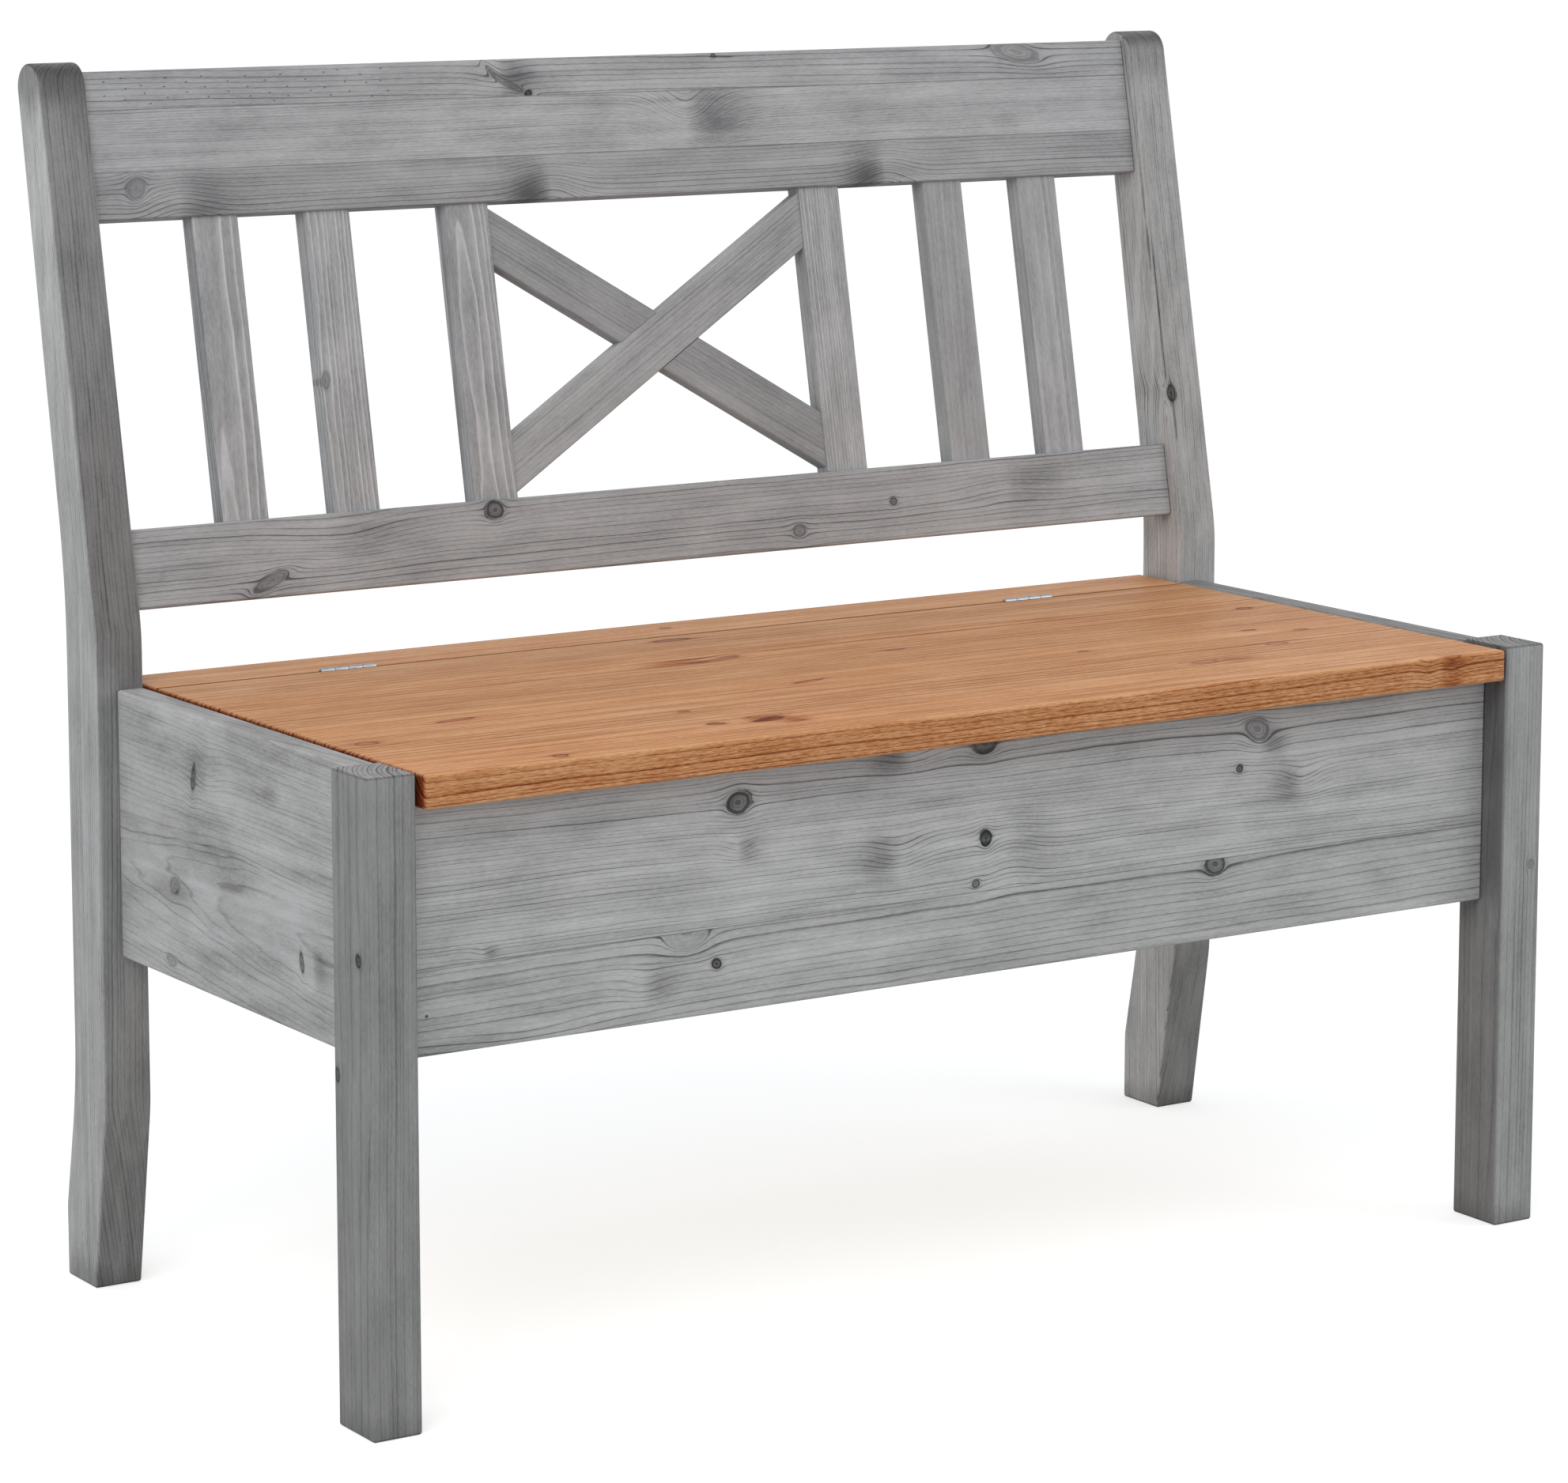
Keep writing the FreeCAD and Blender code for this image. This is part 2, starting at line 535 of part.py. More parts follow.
def seat_lid(label):
    """Lid: the front of the seat, screwed to its battens from below."""
    size = ("2 * lid_half", "lid_depth", "lid_thickness")
    body = board(label, ("-lid_half", "y_lid", "z_seat_under"), size)
    hinge_beds(body, "lid_depth", "lid_depth + joint_gap / 2", False)
    pilots = [(across, "y_batten - y_lid + " + depth) for depth in BATTEN_SCREW_PLACES
              for across in ("lid_half - batten_place", "lid_half + batten_place")]
    drill(body, "Z", "0", pilots, "pilot_radius", "batten_pilot_depth", True)
    return body


def batten(label, middle):
    """Batten under the lid, screwed across its boards to keep it flat."""
    corner = (middle + " - batten_width / 2", "y_batten", "z_seat_under - batten_thickness")
    body = board(label, corner, ("batten_width", "batten_length", "batten_thickness"), "fine_arris", "Y")
    holes = [("batten_width / 2", depth) for depth in BATTEN_SCREW_PLACES]
    drill(body, "Z", "0", holes, "pilot_radius", "batten_thickness", True)
    return body


def rod(label, radius, start, length):
    """A round bar along X, from its left end."""
    bar = doc.addObject("Part::Cylinder", label)
    turn(bar, DIRECTIONS["X"])
    bind(bar, Radius=radius, Height=length)
    place(bar, start)
    return bar


def hinge_leaf(label, middle, in_frame):
    """Leaf of a butt hinge: a plate with every other knuckle, made round the pin and then placed."""
    inner_face = "leaf_gap / 2" if in_frame else "-leaf_gap / 2"
    plate = doc.addObject("Part::Box", label + "_plate")
    bind(plate, Length="hinge_length", Width="leaf_thickness", Height="leaf_height")
    place(plate, ("-hinge_length / 2", inner_face if in_frame else "-leaf_back", "-leaf_height"))
    kept = [plate]
    bore = "pin_radius + pin_clearance"
    cut = [rod(label + "_pin_bore", bore, ("-hinge_length", "0", "0"), "2 * hinge_length")]
    for number in range(KNUCKLES):
        start = f"-hinge_length / 2 + {number} * knuckle_pitch"
        if in_frame == (number % 2 == 0):
            first = (start + " + knuckle_gap / 2", "0", "0")
            kept.append(rod(label + "_knuckle", "knuckle_radius", first, "knuckle_pitch - knuckle_gap"))
        else:
            notch = "knuckle_radius + knuckle_clearance"
            cut.append(rod(label + "_notch", notch, (start, "0", "0"), "knuckle_pitch"))
    for step in HINGE_SCREW_STEPS:
        sink = doc.addObject("Part::Cone", label + "_sink")
        turn(sink, DIRECTIONS["Y"] if in_frame else -DIRECTIONS["Y"])
        bind(sink, Radius1="hinge_screw_head + screw_clearance",
             Radius2="hinge_screw_radius + screw_clearance", Height="leaf_thickness")
        place(sink, (step, inner_face, "-hinge_screw_drop"))
        cut.append(sink)
    body = doc.addObject("Part::MultiFuse", label + "_body")
    body.Shapes = kept
    holes = doc.addObject("Part::MultiFuse", label + "_holes")
    holes.Shapes = cut
    leaf = doc.addObject("Part::Cut", label)
    leaf.Base = body
    leaf.Tool = holes
    leaf.Label = label
    place(leaf, (middle, "y_joint", "z_seat"))
    return leaf


def hinge_pin(label, middle):
    """Pin of a hinge, tight in the frame leaf's knuckles and loose in the lid leaf's."""
    pin = rod(label, "pin_radius", (middle + " - hinge_length / 2", "y_joint", "z_seat"), "hinge_length")
    pin.Label = label
    return pin


def group(label, pieces):
    """Like pieces of one kind, kept as separate solids in one node."""
    compound = doc.addObject("Part::Compound", label)
    compound.Links = pieces
    compound.Label = label
    return compound


def dowels(label, axis, length, middles):
    """Dowels along an axis, centred on some points."""
    pegs = []
    for middle in middles:
        peg = doc.addObject("Part::Cylinder", label + "_peg")
        turn(peg, DIRECTIONS[axis])
        bind(peg, Radius="dowel_radius", Height=length)
        start = dict(zip("XYZ", middle))
        start[axis] += f" - {length} / 2"
        place(peg, start.values())
        pegs.append(peg)
    return group(label, pegs)


def screws(label, countersunk, places):
    """Screws, each from the middle of its head's outer face and the direction that it is driven in."""
    driven = []
    for point, direction in places:
        head = doc.addObject("Part::Cone" if countersunk else "Part::Cylinder", label + "_head")
        shank = doc.addObject("Part::Cylinder", label + "_shank")
        if countersunk:
            bind(head, Radius1="hinge_screw_head", Radius2="hinge_screw_radius", Height="leaf_thickness")
            bind(shank, Radius="hinge_screw_radius", Height="leaf_thickness + hinge_screw_length")
        else:
            bind(head, Radius="screw_head", Height="screw_head_height")
            bind(shank, Radius="screw_radius", Height="screw_head_height + screw_length")
        for piece in (head, shank):
            turn(piece, direction)
            place(piece, point)
        screw = doc.addObject("Part::Fuse", label + "_screw")
        screw.Base = head
        screw.Tool = shank
        driven.append(screw)
    return group(label, driven)


# The chest's frame and panels
nodes = []
for side, left in (("left", True), ("right", False)):
    nodes.append(front_leg(f"front_{side}_leg", left))
    nodes.append(rear_post(f"rear_{side}_post", left))
    nodes.append(side_panel(f"{side}_side_panel", left))
nodes.append(cross_panel("front_panel", "front_inset", "front_panel_height", True))
rear_panel = cross_panel("rear_panel", "rear_panel_place", "rear_panel_height", False)
strip_bores = [("inner_half + " + across, "panel_thickness / 2") for across in STRIP_DOWEL_PLACES]
drill(rear_panel, "Z", "rear_panel_height", strip_bores, "bore_radius", "strip_bore_depth", False)
nodes.append(rear_panel)

# The chest's bottom and the cleats that carry it
bottom_corner = ("-inner_half + bottom_clearance", "y_chest + bottom_clearance", "z_cleat + cleat_size")
bottom_size = ("2 * inner_half - 2 * bottom_clearance", "chest_depth - 2 * bottom_clearance",
               "bottom_thickness")
nodes.append(board("bottom_panel", bottom_corner, bottom_size, "fine_arris", "Z"))
nodes.append(long_cleat("front_cleat", "y_chest"))
nodes.append(long_cleat("rear_cleat", "y_chest + chest_depth - cleat_size"))
nodes.append(side_cleat("left_cleat", "-inner_half"))
nodes.append(side_cleat("right_cleat", "inner_half - cleat_size"))

# The back
nodes.append(rail("lower_rail", "lower_rail_rise", "lower_rail_width", LOWER_RAIL_DOWEL_SHARES,
                  "lower_rail_width", False))
nodes.append(rail("top_rail", "top_rail_rise", "top_rail_width", TOP_RAIL_DOWEL_SHARES, "0", True))
for number, middle in enumerate(SLAT_MIDDLES, start=1):
    nodes.append(slat(f"back_slat_{number}", middle))
nodes.append(brace("rising_brace", True))
nodes.append(brace("falling_brace", False))

# The seat
nodes.append(seat_strip("seat_strip"))
nodes.append(seat_lid("lid"))
nodes.append(batten("left_batten", "-batten_place"))
nodes.append(batten("right_batten", "batten_place"))

# The hinges
for side, middle in (("left", "-hinge_place"), ("right", "hinge_place")):
    nodes.append(hinge_leaf(f"{side}_hinge_frame_leaf", middle, True))
    nodes.append(hinge_leaf(f"{side}_hinge_lid_leaf", middle, False))
    nodes.append(hinge_pin(f"{side}_hinge_pin", middle))

# Dowels
BUTT_JOINTS = ("-inner_half", "inner_half")
side_dowels = [(across, depth, height) for across in ("-inner_half - panel_thickness / 2",
                                                      "inner_half + panel_thickness / 2")
               for depth in ("y_front + leg_depth", "y_post") for height in SIDE_DOWEL_HEIGHTS]
nodes.append(dowels("side_panel_dowels", "Y", "dowel_length", side_dowels))
cross_dowels = [(across, f"y_front + {end}_panel_middle", height) for end in ("front", "rear")
                for height in shares_of(f"{end}_panel_height", CROSS_DOWEL_SHARES, "panel_bottom")
                for across in BUTT_JOINTS]
nodes.append(dowels("cross_panel_dowels", "X", "dowel_length", cross_dowels))
rail_dowels = [(across, "y_front + " + depth, height) for depth, height in RAIL_DOWEL_POINTS
               for across in BUTT_JOINTS]
nodes.append(dowels("rail_dowels", "X", "dowel_length", rail_dowels))
strip_dowels = [(across, "y_front + rear_panel_middle", "z_seat_under") for across in STRIP_DOWEL_PLACES]
nodes.append(dowels("strip_dowels", "Z", "strip_dowel_length", strip_dowels))

# Screws
CLEAT_MIDDLE = "z_cleat + cleat_size / 2"
HEAD_REACH = "cleat_size + screw_head_height"
cleat_screws = []
for depth, direction in ((f"y_chest + {HEAD_REACH}", -DIRECTIONS["Y"]),
                         (f"y_chest + chest_depth - ({HEAD_REACH})", DIRECTIONS["Y"])):
    cleat_screws += [((across, depth, CLEAT_MIDDLE), direction) for across in CLEAT_SCREW_PLACES]
for across, direction in ((f"-inner_half + {HEAD_REACH}", -DIRECTIONS["X"]),
                          (f"inner_half - ({HEAD_REACH})", DIRECTIONS["X"])):
    cleat_screws += [((across, "y_front + " + depth, CLEAT_MIDDLE), direction)
                     for depth in SIDE_CLEAT_SCREW_PLACES]
nodes.append(screws("cleat_screws", False, cleat_screws))
batten_heads = "z_seat_under - batten_thickness - screw_head_height"
batten_screws = [((across, "y_batten + " + depth, batten_heads), DIRECTIONS["Z"])
                 for across in ("-batten_place", "batten_place") for depth in BATTEN_SCREW_PLACES]
nodes.append(screws("batten_screws", False, batten_screws))
for label, face, direction in (("hinge_frame_screws", "y_joint + leaf_gap / 2", DIRECTIONS["Y"]),
                               ("hinge_lid_screws", "y_joint - leaf_gap / 2", -DIRECTIONS["Y"])):
    hinge_screws = [((f"{middle} + {step}", face, "z_seat - hinge_screw_drop"), direction)
                    for middle in ("-hinge_place", "hinge_place") for step in HINGE_SCREW_STEPS]
    nodes.append(screws(label, True, hinge_screws))

doc.recompute()
failed = [obj.Label for obj in doc.Objects if "Invalid" in obj.State or "Error" in obj.State]
failed += [node.Label for node in nodes if node.Shape.isNull() or not node.Shape.isValid()]
if failed:
    raise RuntimeError("not built: " + ", ".join(failed))
os.makedirs("parts", exist_ok=True)
for node in nodes:
    node.Shape.exportStep(f"parts/{node.Label}.step")
    print(f"{node.Label}: {len(node.Shape.Solids)} solids, {node.Shape.Volume / 1000:.1f} cm3")
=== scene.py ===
import math
import bpy
import numpy as np
from mathutils import Euler, Matrix, Vector


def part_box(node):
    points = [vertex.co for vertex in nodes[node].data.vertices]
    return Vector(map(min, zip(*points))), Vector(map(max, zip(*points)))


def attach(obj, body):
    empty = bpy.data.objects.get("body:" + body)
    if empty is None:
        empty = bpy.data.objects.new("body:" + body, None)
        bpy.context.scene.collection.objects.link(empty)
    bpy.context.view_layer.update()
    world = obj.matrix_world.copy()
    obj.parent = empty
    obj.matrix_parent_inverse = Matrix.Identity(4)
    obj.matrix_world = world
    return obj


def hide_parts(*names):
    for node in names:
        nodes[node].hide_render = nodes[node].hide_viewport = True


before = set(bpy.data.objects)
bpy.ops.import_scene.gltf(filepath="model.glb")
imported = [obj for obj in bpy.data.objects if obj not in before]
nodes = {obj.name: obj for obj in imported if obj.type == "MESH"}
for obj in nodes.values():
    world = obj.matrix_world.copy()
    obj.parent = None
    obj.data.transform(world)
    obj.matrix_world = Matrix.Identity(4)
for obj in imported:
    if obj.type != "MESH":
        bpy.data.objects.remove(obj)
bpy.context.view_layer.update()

# Front legs. Two straight pine uprights, planed, with rounded arrises, brushed with a thin grey stain and
# wiped off, so that the growth rings and the knots show through. The panels are dowelled to them.
MM = 0.001
ALONG_X, ALONG_Y, ALONG_Z = Vector((1, 0, 0)), Vector((0, 1, 0)), Vector((0, 0, 1))


def linear(hex_colour):
    """An sRGB hex colour as linear red, green, blue and alpha."""
    channels = [int(hex_colour[start:start + 2], 16) / 255 for start in (1, 3, 5)]
    return tuple(c / 12.92 if c <= 0.04045 else ((c + 0.055) / 1.055) ** 2.4 for c in channels) + (1,)


def add(tree, kind, inputs=(), stops=(), **settings):
    """Adds a node with its settings. Inputs, by order or name, are numbers, colours, sockets or nodes;
    stops are a ramp's places and colours, a bare number being a grey."""
    node = tree.nodes.new("ShaderNode" + kind)
    for name, value in settings.items():
        setattr(node, name, value)
    for key, value in inputs.items() if isinstance(inputs, dict) else enumerate(inputs):
        if isinstance(value, bpy.types.Node):
            value = value.outputs[0]
        if isinstance(value, bpy.types.NodeSocket):
            tree.links.new(value, node.inputs[key])
        else:
            node.inputs[key].default_value = value
    for number, (place, colour) in enumerate(stops):
        points = node.color_ramp.elements
        point = points[number] if number < 2 else points.new(place)
        point.position = place
        point.color = colour if isinstance(colour, tuple) else (colour, colour, colour, 1)
    return node


def tree_of(material):
    """A material's emptied node tree."""
    material.use_nodes = True
    material.node_tree.nodes.clear()
    return material.node_tree


# Grey stain on pine: the hard late wood and the knots' rims stay darker than the soft early wood, and where
# the brush was wiped off it is pale. The eye gets a matt, even grey with the grain drawn in it. A finish
# holds the board's colours from pale to dark, their factors from a knot's middle outwards and on end grain,
# what bark and the arrises round an end take away, the level that the wood starts from, how much each
# pattern darkens it, and what the sides that look along v add to that.
GREY_STAIN = {
    "name": "grey_pine",
    "body": ((0.0, linear("#bdbdbd")), (0.3, linear("#a6a6a6")), (0.6, linear("#868686")),
             (1.0, linear("#595959"))),
    "heartwood": ((0.0, 0.14), (0.07, 0.28), (0.15, 0.46), (0.24, 0.38), (0.31, 0.14), (0.37, 0.18),
                  (0.41, 0.82), (0.46, 0.74), (0.54, 0.9), (0.72, 1.0)),
    "bark": 0.75, "ends": (0.85, 0.85, 0.85), "end_arris": -0.5,
    "ground": 0.26, "late": 0.62, "fibre": 0.15, "streak": 0.11, "blotch": 0.16,
    "edge_fibre": 0.0, "edge_ground": 0.0, "roughness": (0.55, 0.7), "specular": 0.3, "relief": 0.35,
}

# Distances in mm: one past the edge of any board, and one that reaches right through it
BEYOND, THROUGH = 1e3, 1e6


def stave(heart=(60, 90), drift=(0, 0), ring=4.0, late=1.0, tone=1.0, edge=BEYOND):
    """One board of a glued panel, up to its edge in v. heart is the middle of the log in v and w, drift its
    change per millimetre of u, ring the width of a year, late how dark the late wood is (below 0 it is
    pale), tone the board's lightness."""
    return {"heart": (0, *heart), "drift": (0, *drift), "look": (ring, late, tone), "edge": edge}


def knot(u, v, radius, stretch=1.3, turn=0, rim=60, depth=1.0, limits=None, edgewise=False, fall=2.6):
    """A branch cut across: its place and radius in mm, how long it is drawn, turned by degrees, the side on
    which its bark rim is thickest, how deep its colour is, the edges in v of the stave that holds it, and
    how soon the rings run straight again beside it. An edgewise one comes out of the sides that look along
    v, and its second place is in w."""
    return {"at": (u, v, 0), "radius": radius, "stretch": stretch, "turn": math.radians(turn),
            "rim": math.radians(rim), "depth": depth, "limits": limits, "edgewise": edgewise, "fall": fall}


def swirl(u, v, along, across, push, dark=0.5, limits=(-BEYOND, BEYOND)):
    """A branch hidden below the face: its place and reach in mm, how far the rings dip towards -v over it,
    how much stain the fibres that slope down to it drink, on its +u side or, below 0, on its -u side, and
    the edges of its stave."""
    return {"at": (u, v, 0), "reach": (along, across, THROUGH), "push": push, "dark": dark, "limits": limits}


def glued_boards(tree, v, staves, seed):
    """What changes from board to board of a panel: each has a heart, a drift and a look of its own, and cuts
    its noise, the patch, from another place. Gives these and a mask of the joints."""
    step_per_seed, step_per_board, joint_half_width = (91.7, 53.3, 37.1), (433.0, 171.0, 97.0), 0.45
    board = {key: staves[0][key] for key in ("heart", "drift", "look")}
    board["patch"] = tuple(seed * step for step in step_per_seed)
    joint = 0.0
    for below, above in zip(staves, staves[1:]):
        passed = add(tree, "Math", [v, below["edge"]], operation="GREATER_THAN")
        for key, value in board.items():
            step = step_per_board if key == "patch" else np.subtract(above[key], below[key])
            board[key] = add(tree, "VectorMath", [passed, tuple(map(float, step)), value],
                             operation="MULTIPLY_ADD")
        near = add(tree, "Math", [v, below["edge"], joint_half_width], operation="COMPARE")
        joint = add(tree, "Math", [near, joint], operation="MAXIMUM")
    return board, joint


def wandering(tree, place, u, patch, wave, bend):
    """The grain's place in the log: the board's own, moved by up to wave mm as slow noise with ripples. Past
    a bend at b with slope s it leans over with the piece: w - s (u - b)."""
    wander_lengths, noise_middle = (330, 80, 80), (0.5, 0.5, 0.5)
    slow = add(tree, "VectorMath", [patch, tuple(1 / length for length in wander_lengths)],
               operation="MULTIPLY")
    wander = add(tree, "TexNoise", {"Vector": slow, "Scale": 1.0, "Detail": 4.0, "Roughness": 0.55})
    wander = add(tree, "VectorMath", [wander.outputs["Color"], noise_middle], operation="SUBTRACT")
    grain = add(tree, "VectorMath", [wander, (0, 2 * wave, 2 * wave), place], operation="MULTIPLY_ADD")
    if bend:
        start, slope = bend
        over = add(tree, "Math", [u, start], operation="SUBTRACT")
        over = add(tree, "Math", [over, 0], operation="MAXIMUM")
        grain = add(tree, "VectorMath", [over, (0, 0, -slope), grain], operation="MULTIPLY_ADD")
    return grain


def over_hidden_branches(tree, grain, v, swirls, ground):
    """Over each hidden branch the rings dip by push exp(-distance squared) and are drawn darker, as crowded
    rings are, and the fibres on one side of it drink stain. Gives the grain, the ground's level with that
    stain, and how many times darker the rings are drawn."""
    palest_slope, crowding = -0.05, 0.5
    crowd = 1.0
    for branch in swirls:
        local = add(tree, "Mapping", [grain, branch["at"], (0, 0, 0), branch["reach"]], vector_type="TEXTURE")
        share = add(tree, "VectorMath", [local, local], operation="DOT_PRODUCT").outputs["Value"]
        share = add(tree, "Math", [share, -1], operation="MULTIPLY")
        share = add(tree, "Math", [share], operation="EXPONENT")
        low, high = branch["limits"]
        held = add(tree, "Math", [v, (low + high) / 2, (high - low) / 2], operation="COMPARE")
        share = add(tree, "Math", [share, held], operation="MULTIPLY")
        slope = add(tree, "Math", [add(tree, "SeparateXYZ", [local]), share], operation="MULTIPLY")
        slope = add(tree, "Math", [slope, branch["dark"]], operation="MULTIPLY")
        slope = add(tree, "Math", [slope, palest_slope], operation="MAXIMUM")
        ground = add(tree, "Math", [ground, slope], operation="ADD")
        crowd = add(tree, "Math", [share, crowding, crowd], operation="MULTIPLY_ADD")
        grain = add(tree, "VectorMath", [share, (0, branch["push"], 0), grain], operation="MULTIPLY_ADD")
    return grain, ground, crowd


def round_knots(tree, grain, v, patch, knots):
    """The grain passes round each knot at k: v moves towards it by (v - k) / max(1, r) ^ fall, r being the
    distance in knot radii. Gives the grain, r of the nearest knot with its ragged edge, the same for its
    bark, which is thicker on one side, and how deep that knot's colour is."""
    ragged_lengths, raggedness, bark_shift, far_off = (9, 7, 7), 0.22, -0.28, 9.0
    ragged = add(tree, "VectorMath", [patch, tuple(1 / length for length in ragged_lengths)],
                 operation="MULTIPLY")
    ragged = add(tree, "TexNoise", {"Vector": ragged, "Scale": 1.0, "Detail": 2.0})
    ragged = add(tree, "MapRange", [ragged, 0, 1, -raggedness, raggedness])
    straight, nearest, bark, depth = grain, far_off, far_off, 1.0
    for branch in knots:
        source, level, sideways = straight, (0, branch["at"][1], 0), (0, 1, 0)
        if branch["edgewise"]:
            apart = add(tree, "SeparateXYZ", [straight])
            source = add(tree, "CombineXYZ", [apart.outputs[0], apart.outputs[2], apart.outputs[1]])
            level, sideways = (0, 0, branch["at"][1]), (0, 0, 1)
        reach = (branch["radius"] * branch["stretch"], branch["radius"], THROUGH)
        local = add(tree, "Mapping", [source, branch["at"], (0, 0, branch["turn"]), reach],
                    vector_type="TEXTURE")
        distance = add(tree, "VectorMath", [local], operation="LENGTH").outputs["Value"]
        if branch["limits"]:
            low, high = branch["limits"]
            above = add(tree, "Math", [v, low], operation="LESS_THAN")
            below = add(tree, "Math", [v, high], operation="GREATER_THAN")
            outside = add(tree, "Math", [above, below], operation="ADD")
            distance = add(tree, "Math", [outside, far_off, distance], operation="MULTIPLY_ADD")
        worn = add(tree, "Math", [distance, ragged], operation="ADD")
        side = (math.cos(branch["rim"]), math.sin(branch["rim"]), 0)
        side = add(tree, "VectorMath", [local, side], operation="DOT_PRODUCT").outputs["Value"]
        outer = add(tree, "Math", [side, bark_shift, worn], operation="MULTIPLY_ADD")
        closer = add(tree, "Math", [worn, nearest], operation="LESS_THAN")
        change = add(tree, "Math", [branch["depth"], depth], operation="SUBTRACT")
        depth = add(tree, "Math", [closer, change, depth], operation="MULTIPLY_ADD")
        nearest = add(tree, "Math", [nearest, worn], operation="MINIMUM")
        bark = add(tree, "Math", [bark, outer], operation="MINIMUM")
        far = add(tree, "Math", [distance, 1], operation="MAXIMUM")
        share = add(tree, "Math", [far, -branch["fall"]], operation="POWER")
        pushed = add(tree, "VectorMath", [straight, level], operation="SUBTRACT")
        pushed = add(tree, "VectorMath", [pushed, sideways], operation="MULTIPLY")
        pushed = add(tree, "VectorMath", [pushed, share], operation="MULTIPLY")
        grain = add(tree, "VectorMath", [grain, pushed], operation="SUBTRACT")
    return grain, nearest, bark, depth


def late_wood(tree, grain, u, board, ring, seed, thin):
    """Growth rings are circles round the log's heart: years = radius / ring, plus good and bad stretches. The
    wood darkens through each year to a sharp line, the thinner the higher thin is, and weaker in some."""
    stretch, unevenness, weakest_year = 0.41, 1.2, 0.3
    one_year = ((0.0, 0.75), (0.05, 0.1), (0.12, 0.0), (0.5, 0.06), (0.78, 0.3), (0.92, 1.0), (0.97, 1.0))
    heart = add(tree, "VectorMath", [board["drift"], u, board["heart"]], operation="MULTIPLY_ADD")
    radius = add(tree, "VectorMath", [grain, heart], operation="SUBTRACT")
    radius = add(tree, "VectorMath", [radius, (0, 1, 1)], operation="MULTIPLY")
    radius = add(tree, "VectorMath", [radius], operation="LENGTH").outputs["Value"]
    years = add(tree, "Math", [radius, ring], operation="DIVIDE")
    uneven = add(tree, "Math", [years, stretch, seed], operation="MULTIPLY_ADD")
    uneven = add(tree, "TexNoise", {"W": uneven, "Scale": 1.0, "Detail": 1.0}, noise_dimensions="1D")
    years = add(tree, "Math", [uneven, unevenness, years], operation="MULTIPLY_ADD")
    vigour = add(tree, "Math", [years], operation="FLOOR")
    vigour = add(tree, "TexWhiteNoise", {"W": vigour}, noise_dimensions="1D")
    vigour = add(tree, "MapRange", [vigour, 0, 1, weakest_year, 1.0])
    late = add(tree, "ValToRGB", [add(tree, "Math", [years], operation="FRACT")], stops=one_year)
    late = add(tree, "Math", [late, thin], operation="POWER")
    return add(tree, "Math", [late, vigour], operation="MULTIPLY")


def wood_marks(tree, patch):
    """Fibres, streaks and blotches: noise from -1 to 1, each of its own length, width and depth in mm. Real
    fibres are 0.04 mm wide, and are drawn here as coarse as they need to be to show."""
    usual_noise, marks = (0.25, 0.75), []
    for size, detail in (((6, 0.6, 0.6), 2.0), ((260, 6, 6), 2.0), ((70, 24, 24), 4.0)):
        spot = add(tree, "VectorMath", [patch, tuple(1 / length for length in size)], operation="MULTIPLY")
        spot = add(tree, "TexNoise", {"Vector": spot, "Scale": 1.0, "Detail": detail, "Roughness": 0.6})
        marks.append(add(tree, "MapRange", [spot, *usual_noise, -1, 1]))
    return marks


def knot_colour(tree, colour, finish, nearest, bark, depth):
    """Knots: the finish's heartwood factors run from the middle out to reach radii, the knot has years of its
    own, and dead bark lies round it, from its edge to where the bark's own distance ends."""
    reach, darkest = 2.6, (0.09, 0.06, 0.06)
    own_years, own_contrast, own_end = 3.5, 0.22, (0.8, 1.0)
    bark_start, bark_full, bark_inner = 1.0, 1.1, 0.84
    dye = add(tree, "Math", [nearest, 1 / reach], operation="MULTIPLY")
    dye = add(tree, "ValToRGB", [dye], stops=finish["heartwood"])
    dye = add(tree, "VectorMath", [dye, (1, 1, 1)], operation="SUBTRACT")
    dye = add(tree, "VectorMath", [depth, dye, (1, 1, 1)], operation="MULTIPLY_ADD")
    dye = add(tree, "VectorMath", [dye, darkest], operation="MAXIMUM")
    colour = add(tree, "VectorMath", [colour, dye], operation="MULTIPLY").outputs["Vector"]
    year = add(tree, "Math", [nearest, own_years * 2 * math.pi], operation="MULTIPLY")
    year = add(tree, "Math", [year], operation="SINE")
    within = add(tree, "MapRange", [nearest, *own_end, own_contrast, 0])
    within = add(tree, "Math", [within, depth], operation="MULTIPLY")
    year = add(tree, "Math", [year, within, 1], operation="MULTIPLY_ADD")
    colour = add(tree, "VectorMath", [colour, year], operation="MULTIPLY").outputs["Vector"]
    out = add(tree, "MapRange", [nearest, bark_start, bark_full, 0, finish["bark"]])
    dark = add(tree, "MapRange", [bark, bark_inner, 1.0, 1, 0])
    dark = add(tree, "Math", [out, dark], operation="MULTIPLY")
    dark = add(tree, "Math", [depth, dark], operation="MULTIPLY")
    dark = add(tree, "Math", [1, dark], operation="SUBTRACT")
    return add(tree, "VectorMath", [colour, dark], operation="MULTIPLY").outputs["Vector"]


